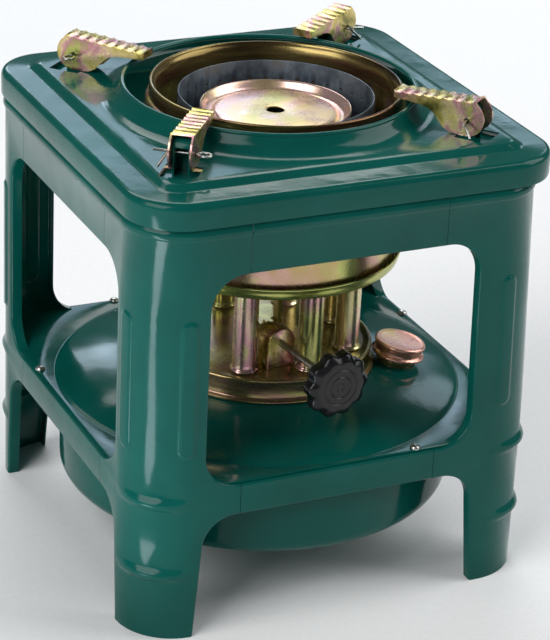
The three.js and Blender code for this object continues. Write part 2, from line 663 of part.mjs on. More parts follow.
function rackShape() {
  const line = SPINDLE_X + PINION_RADIUS;
  const shape = new THREE.Shape();
  shape.moveTo(line + TOOTH_IN + 2.5, PAN_TOP + 1);
  shape.lineTo(line + TOOTH_IN + 2.5, CARRIER_Z + 1);
  shape.lineTo(line + TOOTH_IN, CARRIER_Z + 1);
  for (let i = 2; i >= -4; i -= 1) {
    const z = SPINDLE_Z + i * toothPitch;
    if (z - 0.9 < PAN_TOP + 1) break;
    shape.lineTo(line + TOOTH_IN, z + 0.75);
    shape.lineTo(line - TOOTH_OUT + 0.2, z + 0.3);
    shape.lineTo(line - TOOTH_OUT + 0.2, z - 0.3);
    shape.lineTo(line + TOOTH_IN, z - 0.75);
  }
  shape.lineTo(line + TOOTH_IN, PAN_TOP + 1);
  shape.closePath();
  return shape;
}

function wickCarrier() {
  const reach = WICK_CIRCLE - WICK_RADIUS - GAP;
  const plate = tube(20, 38.6, CARRIER_Z, CARRIER_Z + 1.2);
  const prongs = wickAngles.map((angle) => turned(
    box(36, reach, -1.2, 1.2, CARRIER_Z, CARRIER_Z + 1.2), angle));
  return join(plate, ...prongs, prismY(rackShape(), PINION_FRONT + 0.5, PINION_BACK - 0.5));
}

function knob() {
  const shape = new THREE.Shape();
  const steps = 4 * KNOB_LOBES;
  for (let i = 0; i < steps; i += 1) {
    const angle = (i / steps) * 2 * Math.PI;
    const radius = KNOB_RADIUS - 2 + Math.cos(KNOB_LOBES * angle);
    const point = [SPINDLE_X + radius * Math.cos(angle), SPINDLE_Z + radius * Math.sin(angle)];
    if (i === 0) shape.moveTo(...point);
    else shape.lineTo(...point);
  }
  shape.closePath();
  const source = new THREE.ExtrudeGeometry(shape, {
    depth: KNOB_THICK - 3, bevelThickness: 1.5, bevelSize: 1, bevelSegments: 1,
  });
  const body = toSolid(source.rotateX(Math.PI / 2).translate(0, KNOB_FRONT + KNOB_THICK - 1.5, 0));
  const back = KNOB_FRONT + KNOB_THICK;
  return body.add(onSpindle(back - 1, back + 3, 6, SMALL_ROUND))
    .subtract(onSpindle(KNOB_FRONT + 4, back + 4, SPINDLE_RADIUS + GAP, SMALL_ROUND));
}

const spindle = () => onSpindle(KNOB_FRONT + 4 + GAP, SPINDLE_INNER, SPINDLE_RADIUS, SMALL_ROUND);

// ---------------------------------------------------------------- pot rests, from the hinge pin
const REST_TOP_OUTER = [4, 11.6];
const REST_TOP_TIP = [REST_TIP, 8.6];
const REST_BOTTOM = -8.4;
const REST_CHEEK = 9.8;             // round outer end of the two cheeks

function restShape() {
  const ridge = 0.9;
  const shape = new THREE.Shape();
  shape.moveTo(REST_TIP, 4.6);
  shape.lineTo(-24, 3.2);
  shape.quadraticCurveTo(-18, 2, -15, -4);
  shape.quadraticCurveTo(-12, REST_BOTTOM, -5, REST_BOTTOM);
  shape.lineTo(0, REST_BOTTOM);
  shape.absarc(0, REST_BOTTOM + REST_CHEEK, REST_CHEEK, -Math.PI / 2, 0.9, false);
  shape.lineTo(...REST_TOP_OUTER);
  for (let i = 0; i < REST_RIDGES; i += 1) {
    const along = (share) => {
      const t = (i + share) / REST_RIDGES;
      return [THREE.MathUtils.lerp(REST_TOP_OUTER[0], REST_TOP_TIP[0], t),
        THREE.MathUtils.lerp(REST_TOP_OUTER[1], REST_TOP_TIP[1], t)];
    };
    const [lowX, lowZ] = along(0.6);
    shape.lineTo(lowX, lowZ - ridge);
    shape.lineTo(...along(1));
  }
  shape.closePath();
  return shape;
}

function potRest() {
  const reach = 60;
  const inner = REST_HALF - REST_WALL;
  const roof = new THREE.Shape();
  const slope = (REST_TOP_OUTER[1] - REST_TOP_TIP[1]) / (REST_TOP_OUTER[0] - REST_TOP_TIP[0]);
  const under = (x) => REST_TOP_OUTER[1] - 1.8 + slope * (x - REST_TOP_OUTER[0]);
  roof.moveTo(-reach, -reach);
  roof.lineTo(reach, -reach);
  roof.lineTo(reach, reach);
  roof.lineTo(REST_TOP_OUTER[0] + 0.2, reach);
  roof.lineTo(REST_TOP_OUTER[0] + 0.2, under(REST_TOP_OUTER[0]));
  roof.lineTo(-reach, under(-reach));
  roof.closePath();
  return prismY(restShape(), -REST_HALF, REST_HALF, 5)
    .subtract(prismY(roof, -inner, inner))
    .subtract(alongHinge(REST_HALF + 1, PIN_RADIUS + 2 * GAP));
}

function cotterPin() {
  const eye = new THREE.TorusGeometry(3.2, 0.75, 5, 10).translate(0, 11.2, 0);
  return join(
    rod([0, -8.6, 0], [0, 8.2, 0], PIN_RADIUS, 8),
    toSolid(eye),
    rod([0.2, -8, 0.3], [2.4, -15.5, 1.2], 0.75, 6),
    rod([0.2, -8, -0.2], [5.5, -12.5, -7.2], 0.75, 6));
}

// ---------------------------------------------------------------- assembly
const stove = new THREE.Group();
stove.add(piece('top_plate', topPlate(), enamel));
CORNERS.forEach((name, corner) => stove.add(leant(piece(`leg_${name}`, leg(corner), enamel))));
SIDES.forEach((name, side) => {
  stove.add(leant(piece(`upper_rail_${name}`, rail(side, true), enamel)));
  stove.add(leant(piece(`lower_rail_${name}`, rail(side, false), enamel)));
  stove.add(piece(`tray_rivet_${name}`, trayRivet(side), wireSteel));
});
stove.add(piece('tank_top', tankTop(), enamel));
stove.add(piece('tank_bowl', tankBowl(), enamel));
stove.add(piece('filler_neck', fillerNeck(), zinc));
stove.add(piece('filler_cap', fillerCap(), zinc));
stove.add(piece('cap_seal', capSeal(), rubber));

const burner = new THREE.Group();
burner.position.set(BURNER_X, BURNER_Y, 0);
burner.rotation.z = radians(BURNER_TURN);
stove.add(burner);
burner.add(piece('burner_pan', burnerPan(), zinc));
wickAngles.forEach((angle, i) => {
  burner.add(piece(`wick_tube_${i + 1}`, wickTube(angle), zinc));
  burner.add(piece(`wick_${i + 1}`, wick(angle), cotton));
});
burner.add(piece('wick_carrier', wickCarrier(), zinc));
burner.add(piece('spindle_bracket', spindleBracket(), zinc));
burner.add(piece('spindle', spindle(), wireSteel));
burner.add(piece('pinion', pinion(), zinc));
burner.add(piece('knob', knob(), blackPlastic));
burner.add(piece('gallery_dish', galleryDish(), zinc));
burner.add(piece('outer_drum', outerDrum(), zinc));
burner.add(piece('outer_flame_ring', flameRing(OUTER_FLAME_RADIUS, OUTER_FLAME_TOP, [246]),
  darkSteel));
burner.add(piece('inner_flame_ring', flameRing(INNER_FLAME_RADIUS, INNER_FLAME_TOP, [232]),
  darkSteel));
burner.add(piece('centre_cup', centreCup(), zinc));

['back_right', 'back_left', 'front_left', 'front_right'].forEach((name, side) => {
  stove.add(piece(`pot_rest_${name}`, onDiagonal(potRest(), side), zinc));
  stove.add(piece(`cotter_pin_${name}`, onDiagonal(cotterPin(), side), wireSteel));
});

export default stove;
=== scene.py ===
"""A green wick camping stove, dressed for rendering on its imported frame.
The object is in metres; each section gives its sizes in millimetres and scales the finished mesh."""
import math
import bmesh
import bpy
from mathutils import Matrix, Vector


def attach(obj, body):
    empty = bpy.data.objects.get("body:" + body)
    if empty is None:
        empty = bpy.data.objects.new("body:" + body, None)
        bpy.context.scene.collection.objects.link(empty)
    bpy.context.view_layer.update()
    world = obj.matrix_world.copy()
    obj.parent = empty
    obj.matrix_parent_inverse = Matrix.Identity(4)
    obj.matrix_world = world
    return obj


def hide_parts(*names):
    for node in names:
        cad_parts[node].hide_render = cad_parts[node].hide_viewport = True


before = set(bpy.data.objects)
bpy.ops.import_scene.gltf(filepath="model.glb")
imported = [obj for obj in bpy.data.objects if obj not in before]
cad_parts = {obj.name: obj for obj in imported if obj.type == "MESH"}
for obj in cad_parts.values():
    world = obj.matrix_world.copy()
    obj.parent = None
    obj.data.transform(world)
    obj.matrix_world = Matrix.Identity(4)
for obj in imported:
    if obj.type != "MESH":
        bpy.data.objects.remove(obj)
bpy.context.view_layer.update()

# ---------------- green stove enamel
# Pressed sheet steel, dipped and baked in a glossy dark green stove enamel.
# The coat flows before it sets, so it has a faint orange peel and slightly uneven colour.


def linear(code):
    """An sRGB hex colour as linear red, green, blue and alpha."""
    parts = [int(code[i:i + 2], 16) / 255 for i in (1, 3, 5)]
    return *[p / 12.92 if p <= 0.04045 else ((p + 0.055) / 1.055) ** 2.4 for p in parts], 1.0


def add_node(tree, kind, inputs=None, **settings):
    """A node with its settings, and each input either linked or given its value."""
    node = tree.nodes.new("ShaderNode" + kind)
    for name, value in settings.items():
        setattr(node, name, value)
    for name, value in (inputs or {}).items():
        if isinstance(value, bpy.types.NodeSocket):
            tree.links.new(value, node.inputs[name])
        else:
            node.inputs[name].default_value = value
    return node


def new_material(name):
    """An empty node material and the place on the piece, in metres."""
    material = bpy.data.materials.new(name)
    material.use_nodes = True
    material.node_tree.nodes.clear()
    return material, material.node_tree, add_node(material.node_tree, "TexCoord").outputs["Object"]


def noise(tree, place, scale, detail, **more):
    """Noise from 0 to 1 at a place on the piece."""
    inputs = {"Vector": place, "Scale": scale, "Detail": detail, **more}
    return add_node(tree, "TexNoise", inputs).outputs["Fac"]


def ramp(tree, value, stops):
    """A Color Ramp over a value, with stops of (position, hex colour)."""
    node = add_node(tree, "ValToRGB", {"Fac": value})
    elements = node.color_ramp.elements
    elements[0].position, elements[0].color = stops[0][0], linear(stops[0][1])
    elements[1].position, elements[1].color = stops[-1][0], linear(stops[-1][1])
    for position, code in stops[1:-1]:
        elements.new(position).color = linear(code)
    return node.outputs["Color"]


def remap(tree, value, low, high, start=0.3, end=0.7):
    """A value's range from start to end, stretched over low to high."""
    return add_node(tree, "MapRange", {"Value": value, "From Min": start, "From Max": end,
                                       "To Min": low, "To Max": high}).outputs[0]


def surface(tree, height, strength, distance, inputs):
    """The finish itself, over a bump of some height."""
    bump = add_node(tree, "Bump", {"Height": height, "Strength": strength, "Distance": distance})
    shader = add_node(tree, "BsdfPrincipled", {**inputs, "Normal": bump.outputs["Normal"]})
    add_node(tree, "OutputMaterial", {"Surface": shader.outputs[0]})


def baked_green_enamel():
    material, tree, place = new_material("baked_green_enamel")
    flow = noise(tree, place, 14, 4, Roughness=0.6)
    peel = noise(tree, place, 260, 2)
    waves = noise(tree, place, 38, 1)
    both = add_node(tree, "Math", {0: peel, 1: 0.12, 2: waves}, operation="MULTIPLY_ADD")
    surface(tree, both.outputs[0], 0.35, 0.0009, {
        "Base Color": ramp(tree, flow, [(0.3, "#064a42"), (0.55, "#07524a"), (0.75, "#0a5a51")]),
        "Roughness": remap(tree, waves, 0.09, 0.17), "IOR": 1.29})
    return material


enamel = baked_green_enamel()

# ---------------- top plate
# One square pressing: a turned-down skirt, a flat border, a low raised panel and a coned
# collar with a rolled bead round the burner. Four slots are pierced for the pot rests.
# The sheet is drawn as its outer face, and gets its thickness from a Solidify modifier.
PLATE_HALF, PLATE_CORNER = 120, 30
PLATE_TOP, SKIRT_BOTTOM = 249.3, 234.7
PANEL_TOP = 252.3
SHEET = 1.0
SLOT_LOW, SLOT_HIGH = (-4.9, -9.8, -12), (13, 9.8, -5)   # corners of a slot, from its hinge
LOOP_STEPS = 31                                 # segments in each corner of a square loop


def rounded_square(bm, half, corner, height):
    """A loop of edges round a square with round corners, at one height."""
    made = bmesh.ops.create_grid(bm, x_segments=1, y_segments=1, size=half,
                                 matrix=Matrix.Translation((0, 0, height)))["verts"]
    rounded = bmesh.ops.bevel(bm, geom=made, offset=corner, offset_type="OFFSET",
                              segments=LOOP_STEPS, profile=0.5, affect="VERTICES", material=-1)
    face = max((f for v in rounded["verts"] for f in v.link_faces), key=lambda f: len(f.verts))
    edges = list(face.edges)
    bmesh.ops.delete(bm, geom=[face], context="FACES_ONLY")
    return edges


def ring(bm, radius, height, sides=4 * (LOOP_STEPS + 1)):
    """A circle of edges about the upright axis."""
    turn = Matrix.Rotation(math.pi / sides, 4, "Z")
    verts = bmesh.ops.create_circle(bm, cap_ends=False, segments=sides, radius=radius,
                                    matrix=Matrix.Translation((0, 0, height)) @ turn)["verts"]
    return list({e for v in verts for e in v.link_edges})


def bridge_all(bm, loops):
    for first, second in zip(loops, loops[1:]):
        bmesh.ops.bridge_loops(bm, edges=first + second)


def face_up(bm):
    """Points an open sheet's highest faces up, and the rest with them."""
    bmesh.ops.recalc_face_normals(bm, faces=bm.faces)
    top = max(bm.faces, key=lambda f: f.calc_center_median().z + 5 * abs(f.normal.z))
    if top.normal.z < 0:
        bmesh.ops.reverse_faces(bm, faces=bm.faces)


SHARP = 38                                      # edges bent more than this stay crisp, degrees


def add_object(name, data):
    made = bpy.data.objects.new(name, data)
    bpy.context.scene.collection.objects.link(made)
    return made


def mesh_from(bm, name, scale=0.001):
    """The finished mesh, brought from millimetres to metres."""
    bmesh.ops.scale(bm, vec=(scale, scale, scale), verts=bm.verts)
    mesh = bpy.data.meshes.new(name)
    bm.to_mesh(mesh)
    bm.free()
    return mesh


def bake(piece):
    """Makes a piece's modifiers part of its mesh."""
    bpy.context.view_layer.update()
    shown = piece.evaluated_get(bpy.context.evaluated_depsgraph_get())
    piece.data = bpy.data.meshes.new_from_object(shown)
    piece.modifiers.clear()


def new_piece(name, bm, material, body, nodes=(), thickness=0, place=None, sharp=SHARP):
    """The mesh as a piece on its body, in metres, standing for its CAD nodes."""
    if place is not None:
        bmesh.ops.transform(bm, matrix=place, verts=bm.verts)
    piece = add_object(name, mesh_from(bm, name))
    if thickness:
        wall = piece.modifiers.new("wall", "SOLIDIFY")
        wall.thickness, wall.offset, wall.use_even_offset = thickness / 1000, -1, True
        bake(piece)
    piece.data.materials.clear()
    piece.data.materials.append(material)
    piece.data.shade_smooth()
    piece.data.set_sharp_from_angle(angle=math.radians(sharp))
    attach(piece, body)
    if nodes:
        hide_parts(*nodes)
    return piece


def cut(piece, cutter):
    """Takes a cutting shape, drawn in millimetres, out of a piece."""
    tool = add_object("cutter", mesh_from(cutter, "cutter"))
    hole = piece.modifiers.new("hole", "BOOLEAN")
    hole.operation, hole.solver, hole.object = "DIFFERENCE", "EXACT", tool
    bake(piece)
    bpy.data.objects.remove(tool)
    piece.data.shade_smooth()
    piece.data.set_sharp_from_angle(angle=math.radians(SHARP))


HINGE_HEIGHT = 261.0
# Each hinge: diagonal in degrees, distance out, distance aside, and turn of its pin in degrees.
HINGES = {"back_right": (45, 113.5, 0, -10), "back_left": (135, 113.5, 0, -3),
          "front_left": (225, 116.5, -2.5, 9), "front_right": (315, 113.5, 0, -8)}


def hinge_place(corner):
    """The frame of a pot rest's pin: X points outwards, Y along the pin."""
    diagonal, out, aside, turn = HINGES[corner]
    return (Matrix.Rotation(math.radians(diagonal), 4, "Z")
            @ Matrix.Translation((out, aside, HINGE_HEIGHT))
            @ Matrix.Rotation(math.radians(turn), 4, "Z"))


def box_between(bm, low, high):
    size = Vector(high) - Vector(low)
    middle = (Vector(high) + Vector(low)) / 2
    bmesh.ops.create_cube(bm, size=1, matrix=Matrix.Translation(middle)
                          @ Matrix.Diagonal((*size, 1)))


# The collar's outer face as (radius, height), and the bead rolled round its top.
COLLAR_SIDE = [(94.5, 252.3), (92.4, 252.38), (90.2, 252.75), (88, 253.45), (86, 254.4),
               (84.4, 255.7), (83.1, 257.3), (82, 259.1), (81.2, 260.5)]
BEAD_MIDDLE, BEAD_RADIUS = (79.6, 261.45), 1.35


def top_plate():
    bm = bmesh.new()
    loops = [rounded_square(bm, half, corner, height) for half, corner, height in [
        (PLATE_HALF - 1.1, PLATE_CORNER - 1.1, SKIRT_BOTTOM),
        (PLATE_HALF - 0.3, PLATE_CORNER - 0.3, SKIRT_BOTTOM + 0.5),
        (PLATE_HALF, PLATE_CORNER, SKIRT_BOTTOM + 1.4),
        (PLATE_HALF, PLATE_CORNER, PLATE_TOP - 3.6),
        (PLATE_HALF - 0.35, PLATE_CORNER - 0.35, PLATE_TOP - 2.1),
        (PLATE_HALF - 1.1, PLATE_CORNER - 1.1, PLATE_TOP - 0.95),
        (PLATE_HALF - 2.2, PLATE_CORNER - 2.2, PLATE_TOP - 0.25),
        (PLATE_HALF - 3.7, PLATE_CORNER - 3.7, PLATE_TOP),
        (104.2, 10, PLATE_TOP), (103.2, 9.6, PLATE_TOP + 0.2), (102.2, 9.3, PLATE_TOP + 0.7),
        (100.2, 9, PLATE_TOP + 2.1), (99.2, 8.8, PLATE_TOP + 2.7), (98, 8.5, PANEL_TOP)]]
    loops += [ring(bm, radius, height) for radius, height in COLLAR_SIDE]
    for step in range(11):
        turn = math.radians(-20 + 27 * step)
        loops.append(ring(bm, BEAD_MIDDLE[0] + BEAD_RADIUS * math.cos(turn),
                          BEAD_MIDDLE[1] + BEAD_RADIUS * math.sin(turn)))
    bridge_all(bm, loops)
    face_up(bm)
    plate = new_piece("top_plate_pressing", bm, enamel, "stand", ["top_plate"],
                      thickness=0.9)
    slots = bmesh.new()
    for corner in HINGES:
        slot = bmesh.new()
        box_between(slot, SLOT_LOW, SLOT_HIGH)
        bmesh.ops.transform(slot, matrix=hinge_place(corner), verts=slot.verts)
        slots.from_mesh(mesh_from(slot, "slot", 1))
    cut(plate, slots)


top_plate()

# ---------------- pot-rest lugs
# Four hoods of the same enamelled sheet stand up through the slots. Each is a rounded strip
# with two side walls, open outwards, on a flat foot under the panel that closes the slot.
LUG_HALF, LUG_INNER, LUG_OUTER, LUG_TOP = 4.6, -6.0, 4.5, 8.2
FOOT_SUNK, FOOT_MIDDLE, FOOT_HALF = 1.7, 4.05, (9.6, 10.6)
FOLD_SEGMENTS = 3                               # steps round each folded sheet edge


def draw_out(bm, face, width):
    """Turns a side view into a solid, drawn out along Y."""
    grown = bmesh.ops.extrude_face_region(bm, geom=[face], use_keep_orig=True)["geom"]
    bmesh.ops.translate(bm, vec=(0, width, 0),
                        verts=[v for v in grown if isinstance(v, bmesh.types.BMVert)])
    bmesh.ops.recalc_face_normals(bm, faces=bm.faces)


def round_folds(bm, edges, radius):
    bmesh.ops.bevel(bm, geom=edges, offset=radius, offset_type="OFFSET", segments=FOLD_SEGMENTS,
                    profile=0.5, affect="EDGES", material=-1, clamp_overlap=True)


def lug(corner):
    bm = bmesh.new()
    middle, radius = (LUG_INNER + LUG_OUTER) / 2, (LUG_OUTER - LUG_INNER) / 2
    foot = PANEL_TOP - SHEET - HINGE_HEIGHT - FOOT_SUNK
    side = [(LUG_OUTER, foot)]
    for step in range(17):
        turn = math.pi * step / 16
        side.append((middle + radius * math.cos(turn), LUG_TOP - radius + radius * math.sin(turn)))
    side.append((LUG_INNER, foot))
    wall = bm.faces.new([bm.verts.new((x, -LUG_HALF, z)) for x, z in side])
    bmesh.ops.recalc_face_normals(bm, faces=[wall])
    draw_out(bm, wall, 2 * LUG_HALF)
    open_faces = [f for f in bm.faces if f.normal.x > 0.99 or f.normal.z < -0.99]
    bmesh.ops.delete(bm, geom=open_faces, context="FACES")
    edges = [e for e in bm.edges if len(e.link_faces) == 2 and e.calc_face_angle() > 1]
    round_folds(bm, edges, 0.9)
    bmesh.ops.create_grid(bm, x_segments=1, y_segments=1, size=1,
                          matrix=Matrix.Translation((FOOT_MIDDLE, 0, foot))
                          @ Matrix.Diagonal((*FOOT_HALF, 1, 1)))
    new_piece(f"lug_{corner}", bm, enamel, "stand", thickness=1.0,
              place=hinge_place(corner))


for corner_name in HINGES:
    lug(corner_name)

# ---------------- corner legs
# Each leg is one sheet bent round a corner, cut to half of the window and of the arch on both
# sides. The cut edges are folded in, and ribs and a shoulder bead are pressed outwards.
# The blank is drawn flat: X runs round the corner, Y is depth, and it is bent at the end.
FRAME_HALF, FRAME_CORNER, FRAME_TOP = 118.6, 32.0, 243.0
WINDOW_LOW, WINDOW_HIGH, WINDOW_RADIUS = 87.2, 207.2, 19.0
ARCH_TOP, ARCH_RADIUS = 69.5, 18.0
FLANGE, FLANGE_BEND = 6.5, 1.3
WIDE_END = {"seam": 52.0, "window": 74.0, "arch": 76.5, "foot": 81.0}
NARROW_END = {"seam": 61.7, "window": 82.0, "arch": 82.5, "foot": 86.3}
LEGS = {"front_right": (0, WIDE_END, NARROW_END), "back_right": (1, NARROW_END, WIDE_END),
        "back_left": (2, NARROW_END, NARROW_END), "front_left": (3, NARROW_END, NARROW_END)}
QUARTER = FRAME_CORNER * math.pi / 4            # half of the bend's length
FLAT = FRAME_HALF - FRAME_CORNER                # where the faces turn into the bend
LEAN, LEAN_START = 0.05, 95.0
SHOULDER = (228.0, 234.2, 1.25)                 # bottom, top and height of the bead
RIB = {"middle": 6.5, "half": 5.1, "low": 112.1, "high": 179.9, "height": 0.95}
CORNER_RIBS = [(33.5, 42.5), (75.5, 84.5)]
GAP = 0.15


def step_up(value):
    value = min(max(value, 0.0), 1.0)
    return value * value * (3 - 2 * value)


def pressed_height(around, z):
    """How far the pressing stands out at a place on the developed blank."""
    height = 0.0
    low, high, bead = SHOULDER
    if low < z < high:
        height = bead * math.sin(math.pi * (z - low) / (high - low)) ** 0.8
    if abs(around) < QUARTER:
        swell = math.cos(around / QUARTER * math.pi / 2) ** 1.2
        for low, high in CORNER_RIBS:
            if low < z < high:
                height = max(height, 2.7 * swell * math.sin(math.pi * (z - low) / (high - low)) ** 1.3)
    across = abs(abs(around) - (QUARTER - RIB["middle"]))
    along = max(RIB["low"] - z, z - RIB["high"], 0.0)
    inside = RIB["half"] - math.hypot(across, along)
    return max(height, RIB["height"] * step_up(inside / 1.7))


def leaned(x, z):
    height = (z - LEAN_START) / (SKIRT_BOTTOM - LEAN_START)
    return x * (1 - LEAN * height) if x > 0 and height > 0 else x


def bend(bm, corner):
    """Bends the flat blank round the corner that lies between side `corner` and the next."""
    turn = Matrix.Rotation(math.radians(90 * corner), 4, "Z")
    for v in bm.verts:
        around, depth, z = v.co
        if depth > -0.6:
            depth += pressed_height(around, z)
        if around < -QUARTER:
            place = (FLAT + around + QUARTER, -FRAME_HALF - depth)
        elif around > QUARTER:
            place = (FRAME_HALF + depth, around - QUARTER - FLAT)
        else:
            angle = (around - QUARTER) / FRAME_CORNER
            place = (FLAT + (FRAME_CORNER + depth) * math.cos(angle),
                     -FLAT + (FRAME_CORNER + depth) * math.sin(angle))
        v.co = turn @ Vector((*place, z))
        v.co.x = leaned(v.co.x, z)


def arc(middle, radius, start, end, steps=12):
    for step in range(steps + 1):
        turn = math.radians(start + (end - start) * step / steps)
        yield middle[0] + radius * math.cos(turn), middle[1] + radius * math.sin(turn)


def leg_edge(end):
    """One edge of the blank from foot to top, as (distance from the side's middle, height, folded)."""
    yield from ((a, z, True) for a, z in [(end["foot"], 0), *arc(
        (end["arch"] - ARCH_RADIUS, ARCH_TOP - ARCH_RADIUS), ARCH_RADIUS, 0, 90)])
    yield end["seam"] + GAP, ARCH_TOP, False
    yield end["seam"] + GAP, WINDOW_LOW, True
    middle = end["window"] - WINDOW_RADIUS
    yield from ((a, z, True) for a, z in arc(
        (middle, WINDOW_LOW + WINDOW_RADIUS), WINDOW_RADIUS, -90, 0))
    yield from ((a, z, True) for a, z in arc(
        (middle, WINDOW_HIGH - WINDOW_RADIUS), WINDOW_RADIUS, 0, 90))
    yield end["seam"] + GAP, WINDOW_HIGH, False
    yield end["seam"] + GAP, FRAME_TOP, False


def fold_in(bm, edges):
    """Folds a flange in along cut edges, with a small bend radius."""
    made = bmesh.ops.extrude_edge_only(bm, edges=edges)["geom"]
    bmesh.ops.translate(bm, vec=(0, -FLANGE, 0),
                        verts=[v for v in made if isinstance(v, bmesh.types.BMVert)])
    round_folds(bm, edges, FLANGE_BEND)


def slice_blank(bm, axis, places):
    """Cuts the blank across at each place, so that it can bend and take a pressing there."""
    normal = Vector((1, 0, 0)) if axis == 0 else Vector((0, 0, 1))
    for place in places:
        bmesh.ops.bisect_plane(bm, geom=[*bm.verts, *bm.edges, *bm.faces], dist=1e-4,
                               plane_co=normal * place, plane_no=normal)


def spread(low, high, step):
    count = max(1, round((high - low) / step))
    return [low + (high - low) * i / count for i in range(count + 1)]


def face_outward(bm, outward):
    """Turns an open sheet's faces outwards, judged by the face that lies furthest out."""
    bmesh.ops.recalc_face_normals(bm, faces=bm.faces)
    furthest = max(bm.faces, key=lambda f: f.calc_center_median().dot(outward))
    if furthest.normal.dot(outward) < 0:
        bmesh.ops.reverse_faces(bm, faces=bm.faces)


def leg(name):
    corner, left, right = LEGS[name]
    bm = bmesh.new()
    sides = [[(sign * (QUARTER + FLAT - a), z, folded) for a, z, folded in leg_edge(end)]
             for sign, end in ((-1, left), (1, right))]
    rows = [[bm.verts.new((around, 0, z)) for around, z, _ in side] for side in sides]
    bm.faces.new([*rows[1], *reversed(rows[0])])
    folds = []
    for side, row in zip(sides, rows):
        for (_, _, folded), first, second in zip(side, row, row[1:]):
            if folded and (first.co - second.co).length > 1e-4:
                folds.append(bm.edges.get((first, second)))
    fold_in(bm, folds)
    slice_blank(bm, 0, spread(-QUARTER, QUARTER, 1.0))
    for low, high in [*CORNER_RIBS, SHOULDER[:2], (106.5, 112.5), (179.5, 185.5)]:
        slice_blank(bm, 2, spread(low, high, 0.75))
    bend(bm, corner)
    face_outward(bm, Matrix.Rotation(math.radians(90 * corner - 45), 3, "Z") @ Vector((1, 0, 0)))
    new_piece(f"pressed_leg_{name}", bm, enamel, "stand", [f"leg_{name}"],
              thickness=1.0)


for leg_name in LEGS:
    leg(leg_name)

# ---------------- rails
# Straight pressed strips spot-welded between the legs. The upper ones carry the shoulder bead
# on and the lower ones bear the tray, and their window and arch edges are folded in too.
RAILS = {"front": (0, NARROW_END, WIDE_END), "right": (1, NARROW_END, NARROW_END),
         "back": (2, WIDE_END, NARROW_END), "left": (3, NARROW_END, NARROW_END)}


def rail(side, level):
    quarter_turns, left, right = RAILS[side]
    low, high = (WINDOW_HIGH, FRAME_TOP) if level == "upper" else (ARCH_TOP, WINDOW_LOW)
    bm = bmesh.new()
    corners = [bm.verts.new((x, 0, z)) for x, z in [
        (GAP - left["seam"], low), (right["seam"] - GAP, low),
        (right["seam"] - GAP, high), (GAP - left["seam"], high)]]
    bm.faces.new(corners)
    folds = [bm.edges.get(corners[:2])]
    if level == "lower":
        folds.append(bm.edges.get(corners[2:]))
    fold_in(bm, folds)
    if level == "upper":
        slice_blank(bm, 2, spread(*SHOULDER[:2], 0.75))
    turn = Matrix.Rotation(math.radians(90 * quarter_turns), 4, "Z")
    low_bead, high_bead, bead = SHOULDER
    for v in bm.verts:
        x, depth, z = v.co
        if low_bead < z < high_bead and depth > -0.6:
            depth += bead * math.sin(math.pi * (z - low_bead) / (high_bead - low_bead)) ** 0.8
        v.co = turn @ Vector((x, -FRAME_HALF - depth, z))
        v.co.x = leaned(v.co.x, z)
    face_outward(bm, turn.to_3x3() @ Vector((0, -1, 0)))
    new_piece(f"pressed_{level}_rail_{side}", bm, enamel, "stand",
              [f"{level}_rail_{side}"], thickness=1.0)


for side_name in RAILS:
    rail(side_name, "upper")
    rail(side_name, "lower")

# ---------------- tank top
# The tray and the domed top of the tank are one enamelled pressing. The dome rises from a
# creased foot to a level seat for the burner, and the filler is set in its right shoulder.
TRAY_HALF, TRAY_CORNER, TRAY_TOP = 117.2, 31.0, 88.5
DOME_FOOT, DOME_SEAT, DOME_RISE, TANK_MOUTH = 115.0, 64.0, 9.5, 57.0
FILLER_BASE, FILLER_TILT = (74.5, -27.2), 10.0


def dome_height(radius):
    share = min(max((radius - DOME_SEAT) / (DOME_FOOT - DOME_SEAT), 0.0), 1.0)
    return TRAY_TOP + DOME_RISE * (1 - share ** 1.4)


def filler_place():
    """The frame of the filler: Z leaves the dome squarely."""
    height = dome_height(math.hypot(*FILLER_BASE))
    aside = math.atan2(FILLER_BASE[1], FILLER_BASE[0])
    return (Matrix.Translation((*FILLER_BASE, height)) @ Matrix.Rotation(aside, 4, "Z")
            @ Matrix.Rotation(math.radians(FILLER_TILT), 4, "Y"))


def tank_top():
    bm = bmesh.new()
    loops = [rounded_square(bm, TRAY_HALF, TRAY_CORNER, TRAY_TOP - 0.2),
             rounded_square(bm, TRAY_HALF - 0.8, TRAY_CORNER - 0.8, TRAY_TOP),
             ring(bm, 115.3, TRAY_TOP), ring(bm, 114.7, TRAY_TOP - 0.25),
             ring(bm, 114, TRAY_TOP - 0.1), ring(bm, 113.2, TRAY_TOP + 0.3)]
    radius = 112.0
    while radius > DOME_SEAT - 3:
        loops.append(ring(bm, radius, dome_height(radius)))
        radius -= 3
    loops.append(ring(bm, TANK_MOUTH, dome_height(TANK_MOUTH)))
    bridge_all(bm, loops)
    face_up(bm)
    tray = new_piece("tray_and_dome", bm, enamel, "stand", ["tank_top"],
                     thickness=0.9)
    hole = bmesh.new()
    bmesh.ops.create_cone(hole, cap_ends=True, segments=40, radius1=11.1, radius2=11.1, depth=14,
                          matrix=filler_place())
    cut(tray, hole)


tank_top()

# ---------------- tank bowl
# The deep-drawn round bowl under the tray, with a rounded bottom edge, seamed to the tray.
BOWL_RADIUS, BOWL_BOTTOM, BOWL_CORNER = 111.3, 31.6, 8.0


